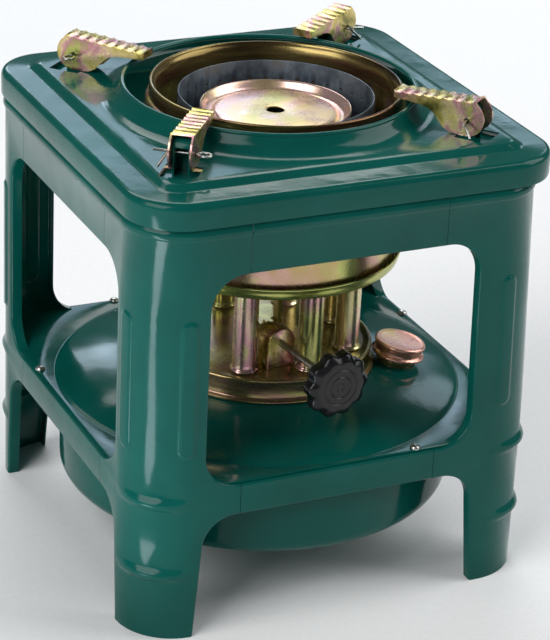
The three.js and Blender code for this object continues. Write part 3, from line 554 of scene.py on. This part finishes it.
def tank_bowl():
    bm = bmesh.new()
    loops = [ring(bm, 20, BOWL_BOTTOM), ring(bm, BOWL_RADIUS - BOWL_CORNER - 6, BOWL_BOTTOM)]
    for step in range(9):
        turn = math.radians(-90 + 90 * step / 8)
        loops.append(ring(bm, BOWL_RADIUS - BOWL_CORNER * (1 - math.cos(turn)),
                          BOWL_BOTTOM + BOWL_CORNER * (1 + math.sin(turn))))
    loops += [ring(bm, BOWL_RADIUS, 82.6), ring(bm, BOWL_RADIUS - 0.5, 83.4),
              ring(bm, BOWL_RADIUS - 0.5, 84.4), ring(bm, BOWL_RADIUS, 85.2),
              ring(bm, BOWL_RADIUS, 87.1)]
    bridge_all(bm, loops)
    bmesh.ops.contextual_create(bm, geom=loops[0])
    face_outward(bm, Vector((0, 0, -1)))
    new_piece("drawn_tank_bowl", bm, enamel, "stand", ["tank_bowl"], thickness=0.9)


tank_bowl()

# ---------------- tray rivets
# Four plain steel rivets hold the tray to the lower rails.
RIVETS = {"front": (0, 42), "right": (1, 42), "back": (2, 42), "left": (3, -42)}
RIVET_OUT = 115.0


def spin_profile(bm, profile, sides=64, middle=(0, 0)):
    """Spins a profile of (radius, height) points about an upright axis. A profile clear of the
    axis is closed into a loop, and one that ends on the axis is left as it is."""
    verts = [bm.verts.new((radius + middle[0], middle[1], z)) for radius, z in profile]
    edges = [bm.edges.new(pair) for pair in zip(verts, verts[1:])]
    if min(radius for radius, _ in profile) > 0:
        edges.append(bm.edges.new((verts[-1], verts[0])))
    bmesh.ops.spin(bm, geom=[*verts, *edges], cent=(*middle, 0), axis=(0, 0, 1), steps=sides,
                   angle=2 * math.pi, use_merge=True)
    bmesh.ops.remove_doubles(bm, verts=bm.verts, dist=1e-4)
    bmesh.ops.recalc_face_normals(bm, faces=bm.faces)


def bright_steel_wire():
    """Bright drawn steel: a clean grey metal with a fine, even haze."""
    material, tree, place = new_material("bright_drawn_steel")
    haze = noise(tree, place, 900, 3)
    surface(tree, haze, 0.1, 0.0002, {
        "Base Color": ramp(tree, haze, [(0.3, "#8d8f8c"), (0.7, "#c9cac4")]), "Metallic": 1.0,
        "Roughness": remap(tree, haze, 0.2, 0.38, 0, 1)})
    return material


steel = bright_steel_wire()

for side_name, (turns, along) in RIVETS.items():
    rivet = bmesh.new()
    head = TRAY_TOP + 0.1
    spin_profile(rivet, [(0, 84.8), (2.2, 84.9), (2.3, 86), (1.3, 86.1), (1.3, head), (2.75, head),
                         (2.8, head + 0.5), (2.5, head + 1.2), (1.8, head + 1.8),
                         (0.9, head + 2.15), (0, head + 2.25)], sides=28)
    at = Matrix.Rotation(math.radians(90 * turns), 4, "Z") @ Matrix.Translation((along, -RIVET_OUT, 0))
    new_piece(f"rivet_{side_name}", rivet, steel, "stand",
              [f"tray_rivet_{side_name}"], place=at)

# ---------------- yellow-passivated zinc
# Thin zinc plating, dipped in a yellow chromate bath. The film is a few hundred nanometres
# thick and uneven, so the metal shines gold, olive, pink and green from place to place.


def passivated_zinc(name, patch_mm, stops, low=0.2, high=0.36, stretch=(1, 1, 1)):
    material, tree, place = new_material(name)
    laid = add_node(tree, "Mapping", {"Vector": place, "Scale": stretch}).outputs[0]
    drift = noise(tree, laid, 1000 / patch_mm, 3, Roughness=0.5, Distortion=0.6)
    fine = noise(tree, laid, 7000 / patch_mm, 3)
    film = add_node(tree, "Math", {0: fine, 1: 0.14, 2: drift}, operation="MULTIPLY_ADD")
    surface(tree, noise(tree, place, 1400, 2), 0.08, 0.0003, {
        "Base Color": ramp(tree, film.outputs[0], stops), "Metallic": 0.85,
        "Roughness": remap(tree, fine, low, high)})
    return material


ZINC_FILM = [(0.36, "#6f6a33"), (0.44, "#b3a45a"), (0.5, "#d3c07c"), (0.55, "#dcc29a"),
             (0.6, "#c78f97"), (0.65, "#b59a7d"), (0.7, "#b4b566"), (0.78, "#8ea05a")]
zinc = passivated_zinc("yellow_passivated_zinc", 26, ZINC_FILM)
gold_zinc = passivated_zinc("gold_passivated_zinc", 45, [
    (0.35, "#7d7440"), (0.5, "#b9aa66"), (0.62, "#cdb982"), (0.75, "#a9a85c")])
pink_zinc = passivated_zinc("pink_passivated_zinc", 40, [
    (0.35, "#cf9488"), (0.48, "#e0a897"), (0.58, "#dcae96"), (0.68, "#cdb077"),
    (0.8, "#a9a865")], low=0.24, high=0.36)

# ---------------- filler neck and cap
# A threaded neck stands out of the dome. The spun cap has a flat top with a rolled edge, a
# necked-in skirt and a knurled lip, and a rubber washer inside it seals on the neck.
NECK_RADIUS, NECK_HEIGHT = 11.0, 9.5
THREAD_TURNS, THREAD_START, THREAD_PITCH = 5, 3.6, 1.15
KNURLS = 32
CAP_LOW, CAP_TOP = 4.4, 12.8


def filler():
    neck = bmesh.new()
    thread = []
    for turn in range(THREAD_TURNS):
        z = THREAD_START + THREAD_PITCH * turn
        thread += [(NECK_RADIUS - 0.35, z), (NECK_RADIUS, z + 0.35), (NECK_RADIUS - 0.05, z + 0.6)]
    spin_profile(neck, [(9.8, -4.8), (10.9, -4.8), (10.9, 0.4), (11.4, 1.6), (12.3, 2.3),
                        (12.3, 2.9), (NECK_RADIUS - 0.2, 3), *thread,
                        (NECK_RADIUS - 0.3, NECK_HEIGHT), (9.9, NECK_HEIGHT)], sides=48)
    new_piece("spun_filler_neck", neck, gold_zinc, "stand", ["filler_neck"],
              place=filler_place())
    cap = bmesh.new()
    spin_profile(cap, [
        (0, CAP_TOP - 1), (12.2, CAP_TOP - 1), (12.2, CAP_LOW), (14.9, CAP_LOW),
        (15.2, CAP_LOW + 0.3), (15.25, CAP_LOW + 0.9),
        (15.0, CAP_LOW + 1.5), (14.3, CAP_LOW + 1.9), (13.7, CAP_LOW + 2.3),
        (13.5, CAP_LOW + 3), (13.6, CAP_TOP - 3.4), (14.1, CAP_TOP - 2.8), (14.5, CAP_TOP - 2.2),
        (14.6, CAP_TOP - 1.5), (14.5, CAP_TOP - 0.8), (14.1, CAP_TOP - 0.3), (13.5, CAP_TOP - 0.05),
        (12.8, CAP_TOP), (12.2, CAP_TOP - 0.25), (11.4, CAP_TOP - 0.4), (0, CAP_TOP - 0.4)],
        sides=96)
    for v in cap.verts:
        if CAP_LOW - 0.1 < v.co.z < CAP_LOW + 1.7 and v.co.xy.length > 14.2:
            around = math.atan2(v.co.y, v.co.x)
            v.co.xy *= 1 + 0.012 * math.cos(KNURLS * around)
    new_piece("spun_filler_cap", cap, pink_zinc, "cap", ["filler_cap"],
              place=filler_place())


filler()

# ---------------- burner pan
# A shallow pressed drum that caps the mouth of the tank. Its foot is rolled, its top edge is
# a bead, and a small vent is drilled in its wall.
BURNER_TURN = math.radians(6.7)
BURNER = Matrix.Translation((3.5, -1.5, 0)) @ Matrix.Rotation(BURNER_TURN, 4, "Z")
PAN_RADIUS, PAN_FOOT, PAN_TOP = 60.0, 98.3, 112.0
VENT_RADIUS, VENT_HEIGHT, VENT_TURN = 1.15, 105.5, -99.0


def lathe_marks(name, stops, low=0.16, high=0.32, bands=420):
    """Passivated zinc on a spun piece: the film and the gloss run round it in fine bands."""
    return passivated_zinc(name, 46, stops, low, high, (0.32, 0.32, bands / 150))


pan_zinc = lathe_marks("olive_passivated_zinc", [
    (0.34, "#4d4423"), (0.45, "#7e7340"), (0.55, "#b0a468"), (0.63, "#8f6f63"), (0.75, "#9aa058")])


def burner_pan():
    bm = bmesh.new()
    spin_profile(bm, [
        (0, PAN_TOP - 0.9), (56, PAN_TOP - 1.2), (58.6, PAN_TOP - 1.6), (PAN_RADIUS - 0.9, PAN_TOP - 3),
        (PAN_RADIUS - 1, PAN_FOOT), (61.6, PAN_FOOT), (62.2, PAN_FOOT + 0.4), (62.3, PAN_FOOT + 0.9),
        (62, PAN_FOOT + 1.5), (61, PAN_FOOT + 1.9), (60.3, PAN_FOOT + 2.3), (PAN_RADIUS, PAN_FOOT + 3),
        (PAN_RADIUS, PAN_TOP - 2.2), (60.2, PAN_TOP - 1.8), (60.5, PAN_TOP - 1.2),
        (60.4, PAN_TOP - 0.6), (60, PAN_TOP - 0.2), (59.3, PAN_TOP), (58, PAN_TOP - 0.15),
        (56.6, PAN_TOP - 0.5), (55, PAN_TOP - 0.55), (53, PAN_TOP - 0.2), (20, PAN_TOP - 0.1),
        (0, PAN_TOP - 0.1)], sides=128)
    pan = new_piece("pressed_burner_pan", bm, pan_zinc, "stand",
                    ["burner_pan"], place=BURNER)
    vent = bmesh.new()
    out = BURNER @ Matrix.Rotation(math.radians(VENT_TURN), 4, "Z")
    bmesh.ops.create_cone(vent, cap_ends=True, segments=20, radius1=VENT_RADIUS,
                          radius2=VENT_RADIUS, depth=5,
                          matrix=out @ Matrix.Translation((PAN_RADIUS, 0, VENT_HEIGHT))
                          @ Matrix.Rotation(math.pi / 2, 4, "Y"))
    cut(pan, vent)


burner_pan()

# ---------------- wick tubes and wicks
# Eight seamed tubes stand on flared feet round the pan, each round a cotton wick. The plating
# stays bright on them, with a soft sheen along the tube.
TUBES, WICK_CIRCLE, TUBE_RADIUS, TUBE_TOP = 8, 47.1, 6.75, 163.7
tube_zinc = passivated_zinc("tube_passivated_zinc", 30, [
    (0.33, "#6a5a34"), (0.44, "#c7b87e"), (0.54, "#e2d7a6"), (0.62, "#cf9aa6"), (0.7, "#c2c27c"),
    (0.8, "#8c8a4a")], 0.18, 0.3, (1, 1, 0.35))


def cotton_wick():
    """Woven cotton wick: off-white and matt, with a fine slanting braid."""
    material, tree, place = new_material("woven_cotton_wick")
    braid = add_node(tree, "TexWave", {"Vector": place, "Scale": 160, "Distortion": 1.2, "Detail": 1},
                     wave_type="BANDS", bands_direction="DIAGONAL").outputs["Fac"]
    surface(tree, braid, 0.5, 0.0006, {
        "Base Color": ramp(tree, braid, [(0.0, "#b9ae97"), (1.0, "#ebe4d3")]),
        "Roughness": 0.95, "Sheen Weight": 0.3})
    return material


def dress(node, material):
    """Gives a CAD node that is shown as it is its material."""
    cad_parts[node].data.materials.clear()
    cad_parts[node].data.materials.append(material)


cotton = cotton_wick()
for number in range(1, TUBES + 1):
    tube = bmesh.new()
    spin_profile(tube, [(5.95, 112.1), (8, 112.1), (8.1, 112.4), (7.9, 112.9), (7.4, 113.2),
                        (7.05, 113.8), (6.85, 114.8), (TUBE_RADIUS, 116.5), (TUBE_RADIUS, 160.8),
                        (6.9, 161.4), (6.95, 162), (6.8, 162.7), (6.6, TUBE_TOP),
                        (5.95, TUBE_TOP)], sides=40)
    at = (BURNER @ Matrix.Rotation(math.radians(-90 + 360 / TUBES * (number - 1)), 4, "Z")
          @ Matrix.Translation((WICK_CIRCLE, 0, 0)))
    new_piece(f"seamed_wick_tube_{number}", tube, tube_zinc, "stand",
              [f"wick_tube_{number}"], place=at)
    dress(f"wick_{number}", cotton)

# ---------------- gallery dish and drum
# The loose burner head: a pressed dish that sits on the tubes, and on it a drum with a
# shouldered top and a flared, rolled flame ring let into it.
DISH_LOW, DISH_RIM, DISH_RIM_TOP = 164.0, 73.6, 172.0
DRUM_RADIUS, DRUM_SHOULDER, DRUM_TOP = 70.9, 254.0, 262.7
drum_zinc = passivated_zinc("drum_passivated_zinc", 60, [
    (0.34, "#5c5130"), (0.43, "#a99c62"), (0.5, "#cfbf86"), (0.56, "#d2a79c"), (0.62, "#c2a877"),
    (0.7, "#c3c678"), (0.8, "#a6b26a")], 0.2, 0.34, (1, 1, 0.5))
dish_zinc = lathe_marks("lime_passivated_zinc", [
    (0.34, "#7b8440"), (0.46, "#a9b25a"), (0.56, "#c8c877"), (0.66, "#b9bd68"), (0.78, "#96a04c")])
ring_zinc = lathe_marks("dark_gold_passivated_zinc", [
    (0.34, "#33281a"), (0.46, "#6b5a34"), (0.56, "#8f7d4c"), (0.66, "#6b4a36"), (0.78, "#70733e")])


def burner_head():
    dish = bmesh.new()
    spin_profile(dish, [
        (37.1, DISH_LOW), (58.8, DISH_LOW), (59.6, DISH_LOW - 0.4), (60.1, DISH_LOW - 1.4),
        (60.7, DISH_LOW - 1.9), (61.6, DISH_LOW - 1.9), (62.2, DISH_LOW - 1.4), (62.8, DISH_LOW - 0.2),
        (64, DISH_LOW + 0.1), (70, DISH_LOW + 0.6), (71.4, DISH_LOW + 1.2), (72.2, DISH_LOW + 2.3),
        (72.8, DISH_LOW + 4.6), (73.1, DISH_RIM_TOP - 1.4), (73.55, DISH_RIM_TOP - 0.9),
        (DISH_RIM - 0.05, DISH_RIM_TOP - 0.4), (73.3, DISH_RIM_TOP), (72.7, DISH_RIM_TOP - 0.1),
        (72.4, DISH_RIM_TOP - 0.8), (71.9, DISH_LOW + 4.8), (71.4, DISH_LOW + 3),
        (70.4, DISH_LOW + 1.8), (64, DISH_LOW + 1.1), (37.1, DISH_LOW + 0.9)], sides=128)
    new_piece("pressed_gallery_dish", dish, dish_zinc, "burner_head",
              ["gallery_dish"], place=BURNER)
    drum = bmesh.new()
    foot = DISH_LOW + 3.3
    wall = [(69.2, foot), (70.0, foot), (70.0, DRUM_SHOULDER - 12.5), (70.15, DRUM_SHOULDER - 11.4),
            (70.7, DRUM_SHOULDER - 9.8), (DRUM_RADIUS, DRUM_SHOULDER - 8.8),
            (DRUM_RADIUS, DRUM_SHOULDER - 1.2), (70.75, DRUM_SHOULDER - 0.5),
            (70.3, DRUM_SHOULDER + 0.1), (69.6, DRUM_SHOULDER + 0.35), (69.1, DRUM_SHOULDER + 0.7)]
    inside = [(68.4, DRUM_SHOULDER - 0.6), (69.7, DRUM_SHOULDER - 1), (70.0, DRUM_SHOULDER - 8.8),
              (69.3, DRUM_SHOULDER - 11.4)]
    spin_profile(drum, [*wall, *inside], sides=144)
    new_piece("seamed_burner_drum", drum, drum_zinc, "burner_head",
              ["outer_drum"], place=BURNER)
    flare = bmesh.new()
    roll = [(68.0 + 1.0 * math.cos(math.radians(t)), DRUM_TOP - 1.05 + math.sin(math.radians(t)))
            for t in range(-30, 181, 30)]
    spin_profile(flare, [(68.3, DRUM_SHOULDER + 0.2), (68.95, DRUM_SHOULDER + 0.8), *roll,
                         (66.4, DRUM_TOP - 2.6), (65.6, DRUM_TOP - 4.4), (65.0, DRUM_TOP - 7),
                         (64.7, DRUM_TOP - 12), (64.1, DRUM_TOP - 12), (64.3, DRUM_TOP - 7),
                         (64.9, DRUM_TOP - 4), (65.7, DRUM_TOP - 2.1), (66.6, DRUM_TOP - 1.3),
                         (67.7, DRUM_TOP - 4)], sides=144)
    new_piece("rolled_flame_guard", flare, ring_zinc, "burner_head",
              place=BURNER)


burner_head()

# ---------------- perforated flame rings
# Two thin sheet cylinders with drilled air holes stand in the dish, one each side of the
# flame. Heat has turned the sheet dull blue-grey, and its bare upper edges stay bright.
OUTER_RING, OUTER_RING_TOP = 53.5, 256.5
INNER_RING, INNER_RING_TOP = 40.5, 245.4
HOLE_RADIUS, HOLES = 0.95, 36


def heat_blued_steel():
    material, tree, place = new_material("heat_blued_sheet_steel")
    cloud = noise(tree, place, 45, 4, Roughness=0.6)
    speck = noise(tree, place, 700, 3)
    surface(tree, speck, 0.25, 0.0004, {
        "Base Color": ramp(tree, cloud, [(0.3, "#3a434c"), (0.45, "#59636d"), (0.58, "#77828c"),
                                         (0.72, "#7a7876")]),
        "Metallic": 0.85, "Roughness": remap(tree, speck, 0.42, 0.65, 0, 1)})
    return material


blued = heat_blued_steel()


def flame_ring(name, node, radius, top, rows):
    bm = bmesh.new()
    low = DISH_LOW + 1.4
    spin_profile(bm, [(radius - 0.8, low), (radius, low), (radius, top - 0.5),
                      (radius - 0.15, top - 0.1), (radius - 0.4, top), (radius - 0.65, top - 0.1),
                      (radius - 0.8, top - 0.5)], sides=144)
    piece = new_piece(name, bm, blued, "burner_head", [node], place=BURNER)
    drills = bmesh.new()
    for row, shift in rows:
        for i in range(HOLES):
            turn = Matrix.Rotation(2 * math.pi * (i + shift) / HOLES, 4, "Z")
            bmesh.ops.create_cone(drills, cap_ends=True, segments=12, radius1=HOLE_RADIUS,
                                  radius2=HOLE_RADIUS, depth=5,
                                  matrix=BURNER @ turn @ Matrix.Translation((radius - 0.4, 0, row))
                                  @ Matrix.Rotation(math.pi / 2, 4, "Y"))
    cut(piece, drills)


flame_ring("outer_perforated_ring", "outer_flame_ring", OUTER_RING, OUTER_RING_TOP,
           [(246, 0.5), (236, 0), (226, 0.5), (214, 0), (202, 0.5)])
flame_ring("inner_perforated_ring", "inner_flame_ring", INNER_RING, INNER_RING_TOP,
           [(232, 0.5), (222, 0), (212, 0.5)])

# ---------------- centre cup
# A shallow spun cup closes the inner ring. It has a rolled rim, a dished wall with a step, a
# low domed floor and a hole in the middle.
CUP_RADIUS, CUP_RIM, CUP_FLOOR, CUP_GROOVE, CUP_HOLE = 41.4, 249.4, 246.8, 244.4, 4.8
cup_zinc = passivated_zinc("pale_pink_passivated_zinc", 70, [
    (0.35, "#c9b878"), (0.45, "#d9c48c"), (0.53, "#e0c3b2"), (0.6, "#dfb9b4"), (0.68, "#d8c08c"),
    (0.78, "#bfbd74")], 0.22, 0.34)


def centre_cup():
    bm = bmesh.new()
    seat, fit = 245.8, 39.5
    spin_profile(bm, [
        (CUP_HOLE, CUP_FLOOR - 0.8), (fit - 9, CUP_FLOOR - 0.85), (fit - 6, CUP_GROOVE - 0.8),
        (fit - 2, CUP_GROOVE - 0.8), (fit - 0.3, CUP_GROOVE - 0.3), (fit, seat),
        (CUP_RADIUS - 0.3, seat + 0.1), (CUP_RADIUS - 0.05, seat + 0.5), (CUP_RADIUS, CUP_RIM - 1),
        (CUP_RADIUS - 0.1, CUP_RIM - 0.4), (CUP_RADIUS - 0.45, CUP_RIM),
        (CUP_RADIUS - 1, CUP_RIM - 0.25), (CUP_RADIUS - 1.5, CUP_RIM - 1), (fit - 0.8, CUP_GROOVE + 1.9),
        (fit - 1.5, CUP_GROOVE + 0.7), (fit - 2.6, CUP_GROOVE + 0.1), (fit - 4.4, CUP_GROOVE),
        (fit - 5.1, CUP_GROOVE + 0.4), (fit - 5.9, CUP_FLOOR - 1), (fit - 6.8, CUP_FLOOR - 0.4),
        (fit - 8.4, CUP_FLOOR - 0.1), (CUP_HOLE + 1.2, CUP_FLOOR), (CUP_HOLE + 0.5, CUP_FLOOR - 0.1),
        (CUP_HOLE, CUP_FLOOR - 0.4)], sides=144)
    new_piece("spun_centre_cup", bm, cup_zinc, "burner_head", ["centre_cup"],
              place=BURNER)


centre_cup()

# ---------------- spindle bracket and spindle
# A round-topped box of folded sheet holds the front bearing of the spindle. The spindle is a
# plain steel rod, and turns the pinion that raises the wicks' carrier behind the bracket.
SPINDLE_X, SPINDLE_Z = -14.0, 126.0
BRACKET_FRONT, BRACKET_BACK, BRACKET_HALF = -40.5, -29.2, 8.7


def spindle_bracket():
    bm = bmesh.new()
    side = [(SPINDLE_X - BRACKET_HALF, 112.2), (SPINDLE_X + BRACKET_HALF, 112.2)]
    for step in range(25):
        turn = math.pi * step / 24
        side.append((SPINDLE_X + BRACKET_HALF * math.cos(turn), SPINDLE_Z + BRACKET_HALF * math.sin(turn)))
    front = bm.faces.new([bm.verts.new((x, BRACKET_FRONT, z)) for x, z in side])
    draw_out(bm, front, BRACKET_BACK - BRACKET_FRONT)
    bmesh.ops.delete(bm, geom=[f for f in bm.faces if f.normal.y > 0.9 or f.normal.z < -0.9],
                     context="FACES")
    fold = [e for e in bm.edges if len(e.link_faces) == 2 and e.calc_face_angle() > 1]
    round_folds(bm, fold, 0.9)
    new_piece("folded_spindle_bracket", bm, zinc, "stand",
              ["spindle_bracket"], thickness=0.9, place=BURNER)


def spindle():
    bm = bmesh.new()
    spin_profile(bm, [(0, 18), (1.6, 18), (2, 18.4), (2, 95.4), (1.6, 95.8), (0, 95.8)], sides=32)
    along = BURNER @ Matrix.Translation((SPINDLE_X, 0, SPINDLE_Z)) @ Matrix.Rotation(math.pi / 2, 4, "X")
    new_piece("turned_spindle", bm, steel, "knob_shaft", ["spindle"], place=along)


spindle_bracket()
spindle()
dress("pinion", gold_zinc)
dress("wick_carrier", gold_zinc)

# ---------------- control knob
# A black moulded phenolic handwheel with ten lobes, a chamfered face, faint turned rings on
# the face and a short hub behind.
KNOB_RADIUS, KNOB_LOBES, KNOB_FRONT = 18.6, 10, -100.4
LOBE_DEPTH = 0.052                              # share of the radius taken out between lobes


def moulded_phenolic():
    """Moulded black phenolic: a satin skin, slightly warm, with a faint mould texture."""
    material, tree, place = new_material("moulded_black_phenolic")
    cloud = noise(tree, place, 60, 2)
    surface(tree, noise(tree, place, 900, 3), 0.2, 0.0003, {
        "Base Color": ramp(tree, cloud, [(0.3, "#0d0c0e"), (0.7, "#171518")]),
        "Roughness": remap(tree, cloud, 0.22, 0.36), "IOR": 1.42})
    return material


phenolic = moulded_phenolic()


def control_knob():
    bm = bmesh.new()
    profile = [(0, 0.35), (2.2, 0.35), (2.5, 0), (5.6, 0), (5.9, 0.3), (6.4, 0.3), (6.7, 0),
               (9.4, 0), (9.7, 0.25), (10.2, 0.25), (10.5, 0), (13.9, 0), (14.6, 0.15),
               (KNOB_RADIUS - 1.2, 1.7), (KNOB_RADIUS - 0.25, 2.4), (KNOB_RADIUS, 3.2),
               (KNOB_RADIUS, 7.6), (KNOB_RADIUS - 0.3, 8.5), (KNOB_RADIUS - 1.2, 9.2),
               (14.6, 10.2), (13.6, 10.4), (7, 10.4), (6.2, 10.7), (6, 13.3), (5.6, 13.5), (2.2, 13.5),
               (2.2, 6), (0, 6)]
    spin_profile(bm, profile, sides=160)
    for v in bm.verts:
        out = v.co.xy.length
        share = step_up((out - 12.6) / 4)
        lobes = math.cos(KNOB_LOBES * math.atan2(v.co.y, v.co.x))
        v.co.xy *= 1 - share * LOBE_DEPTH * (1 - lobes) * (0.7 + 0.3 * (1 - lobes) / 2)
    along = (BURNER @ Matrix.Translation((SPINDLE_X, KNOB_FRONT, SPINDLE_Z))
             @ Matrix.Rotation(-math.pi / 2, 4, "X"))
    new_piece("ten_lobed_knob", bm, phenolic, "knob_shaft", ["knob"], place=along)


control_knob()

# ---------------- cap seal
# A punched rubber washer inside the filler cap.


def nitrile_rubber():
    """Punched nitrile sheet: matt black with a faint grain and a little talc in it."""
    material, tree, place = new_material("punched_nitrile_rubber")
    talc = noise(tree, place, 600, 3)
    surface(tree, talc, 0.3, 0.0003, {
        "Base Color": ramp(tree, talc, [(0.35, "#151515"), (0.75, "#2b2b2a")]), "Roughness": 0.85})
    return material


dress("cap_seal", nitrile_rubber())

# ---------------- pot rests
# Four channels of pressed sheet hinge on the lugs. The top is crossed by rounded ridges that
# grip a pan, and two round cheeks go down each side of the lug to the pin.
REST_TIP, REST_HALF = -43.0, 6.1
REST_TOP_OUTER, REST_TOP_INNER = (4.0, 11.6), (REST_TIP, 8.6)
REST_BOTTOM, REST_CHEEK, PIN_HOLE = -8.4, 9.8, 1.6
RIDGES, RIDGE_HEIGHT = 8, 0.85


def pot_rest(corner):
    bm = bmesh.new()
    side = [(REST_TIP, 4.6), (-34, 4.1), (-27, 3.6), (-22.6, 2.6), (-19.4, 0.6), (-16.6, -2.6),
            (-13.6, -5.9), (-9.8, -7.9), (-5, REST_BOTTOM)]
    for step in range(17):
        turn = math.radians(-90 + 141 * step / 16)
        side.append((REST_CHEEK * math.cos(turn), REST_BOTTOM + REST_CHEEK * (1 + math.sin(turn))))
    steps = 8 * RIDGES
    for step in range(steps + 1):
        share = step / steps
        x = REST_TOP_OUTER[0] + (REST_TOP_INNER[0] - REST_TOP_OUTER[0]) * share
        z = REST_TOP_OUTER[1] + (REST_TOP_INNER[1] - REST_TOP_OUTER[1]) * share
        ridge = RIDGE_HEIGHT * (1 - abs(math.sin(math.pi * RIDGES * share)) ** 0.8)
        side.append((x, z - RIDGE_HEIGHT + ridge))
    cheek = bm.faces.new([bm.verts.new((x, -REST_HALF, z)) for x, z in side])
    draw_out(bm, cheek, 2 * REST_HALF)
    line = REST_TOP_INNER[1] - 2.2
    strips = [f for f in bm.faces if abs(f.normal.y) < 0.5]
    opened = [f for f in strips if f.calc_center_median().z < line
              or f.calc_center_median().x > REST_TOP_OUTER[0] + 0.2]
    bmesh.ops.delete(bm, geom=opened, context="FACES")
    fold = [e for e in bm.edges if len(e.link_faces) == 2 and abs(e.verts[0].co.y - e.verts[1].co.y) < 0.1
            and e.calc_face_angle() > 1]
    round_folds(bm, fold, 0.8)
    rest = new_piece(f"ridged_pot_rest_{corner}", bm, zinc, f"rest_{corner}",
                     [f"pot_rest_{corner}"], thickness=0.95, place=hinge_place(corner))
    hole = bmesh.new()
    bmesh.ops.create_cone(hole, cap_ends=True, segments=24, radius1=PIN_HOLE,
                          radius2=PIN_HOLE, depth=20,
                          matrix=hinge_place(corner) @ Matrix.Rotation(math.pi / 2, 4, "X"))
    cut(rest, hole)


for corner_name in HINGES:
    pot_rest(corner_name)

# ---------------- cotter pins
# Split pins of bright wire: an eye on one side, two legs through the lug and the cheeks, and
# the legs spread on the other side, one of them down to the plate.
WIRE_RADIUS, EYE_RADIUS = 0.72, 3.4


def cotter_pin(corner):
    eye = [(EYE_RADIUS * 0.8 * math.sin(math.radians(t)), 11.0 - EYE_RADIUS * math.cos(math.radians(t)), 0)
           for t in range(20, 341, 20)]
    route = [(2.4, -15.3, 1.2), (1.2, -11.5, 0.8), (0.4, -8.4, 0.4), (0.35, -6, 0.3), (0.35, 6, 0.3),
             *eye, (-0.35, 6, -0.3), (-0.35, -6, -0.3), (-0.2, -8.2, -0.5), (2, -9.9, -3),
             (5.3, -12.3, -7.0)]
    curve = bpy.data.curves.new("wire", "CURVE")
    curve.dimensions, curve.bevel_depth, curve.bevel_resolution = "3D", WIRE_RADIUS, 4
    curve.use_fill_caps = True
    spline = curve.splines.new("POLY")
    spline.points.add(len(route) - 1)
    for point, place in zip(spline.points, route):
        point.co = (*place, 1)
    bent = add_object("wire", curve)
    bpy.context.view_layer.update()
    bm = bmesh.new()
    bm.from_mesh(bpy.data.meshes.new_from_object(
        bent.evaluated_get(bpy.context.evaluated_depsgraph_get())))
    bpy.data.objects.remove(bent)
    new_piece(f"split_pin_{corner}", bm, steel, "stand",
              [f"cotter_pin_{corner}"], place=hinge_place(corner), sharp=60)


for corner_name in HINGES:
    cotter_pin(corner_name)

# ---------------- floor, studio light and camera
# A plain pale floor between two broad soft lights, with a wash on the floor behind. Four dim
# panels behind are seen as the sheen on the level enamel, and a narrow card on the floor as
# the streak down the near leg.


def studio_floor():
    bm = bmesh.new()
    bmesh.ops.create_grid(bm, x_segments=1, y_segments=1, size=9)
    bmesh.ops.translate(bm, vec=(0, 4, -0.0002), verts=bm.verts)
    floor = add_object("studio_floor", mesh_from(bm, "studio_floor", 1))
    material, tree, place = new_material("pale_studio_floor")
    tone = ramp(tree, noise(tree, place, 300, 2), [(0.3, "#f2f2f2"), (0.7, "#f6f6f6")])
    shader = add_node(tree, "BsdfPrincipled", {"Base Color": tone, "Roughness": 0.95,
                                              "Specular IOR Level": 0.1})
    add_node(tree, "OutputMaterial", {"Surface": shader.outputs[0]})
    floor.data.materials.append(material)


def soft_light(name, place, target, size, power, tint=(1, 1, 1)):
    data = bpy.data.lights.new(name, "AREA")
    data.shape, data.size, data.size_y, data.energy, data.color = "RECTANGLE", *size, power, tint
    light = add_object(name, data)
    light.location = place
    light.rotation_euler = (Vector(target) - Vector(place)).to_track_quat("-Z", "Y").to_euler()
    return light


def studio_camera():
    data = bpy.data.cameras.new("camera")
    data.sensor_width, data.lens = 36, 141.13
    data.clip_start, data.clip_end = 0.05, 50
    camera = add_object("camera", data)
    ahead = Vector((0.39435, 0.81722, -0.42028))
    camera.location = (-0.54966, -1.16021, 0.71543)
    camera.rotation_mode = "QUATERNION"
    level = ahead.to_track_quat("-Z", "Y")
    camera.rotation_quaternion = level @ Matrix.Rotation(math.radians(2.84), 3, "Z").to_quaternion()
    bpy.context.scene.camera = camera


studio_floor()
soft_light("left_softbox", (-2.3, -0.9, 1.9), (0, 0, 0), (2.2, 2.2), 66)
soft_light("right_softbox", (2.3, -0.7, 1.9), (0, 0, 0), (2.2, 2.2), 52)
soft_light("floor_wash", (0.6, 2.4, 2.6), (0.5, 1.2, 0), (2.4, 1.4), 46)
soft_light("back_sheen_left", (0.84, 2.75, 1.42), (0, 0, 0.25), (0.8, 0.56), 4.2, (0.62, 0.8, 1))
soft_light("back_sheen_low", (1.72, 2.75, 1.22), (0, 0, 0.25), (1.1, 0.34), 3, (0.62, 0.8, 1))
soft_light("tray_sheen_right", (1.64, 1.52, 1.2), (0, 0, 0.1), (0.3, 0.46), 1.2, (0.72, 0.86, 1))
soft_light("tray_sheen_left", (0.3, 2.3, 1.05), (0, 0, 0.1), (0.34, 0.34), 1.7, (0.72, 0.86, 1))
low_card = soft_light("low_card", (-0.416, -0.224, 0.006), (-0.416, -0.224, 1), (0.46, 0.07), 0.95,
                      (0.8, 0.92, 1))
low_card.rotation_euler = (math.pi, 0, math.radians(20))
world = bpy.data.worlds.new("studio")
world.use_nodes = True
world.node_tree.nodes["Background"].inputs[0].default_value = (0.9, 0.95, 1, 1)
world.node_tree.nodes["Background"].inputs[1].default_value = 0.12
bpy.context.scene.world = world
bpy.context.scene.view_settings.view_transform = "Standard"
studio_camera()
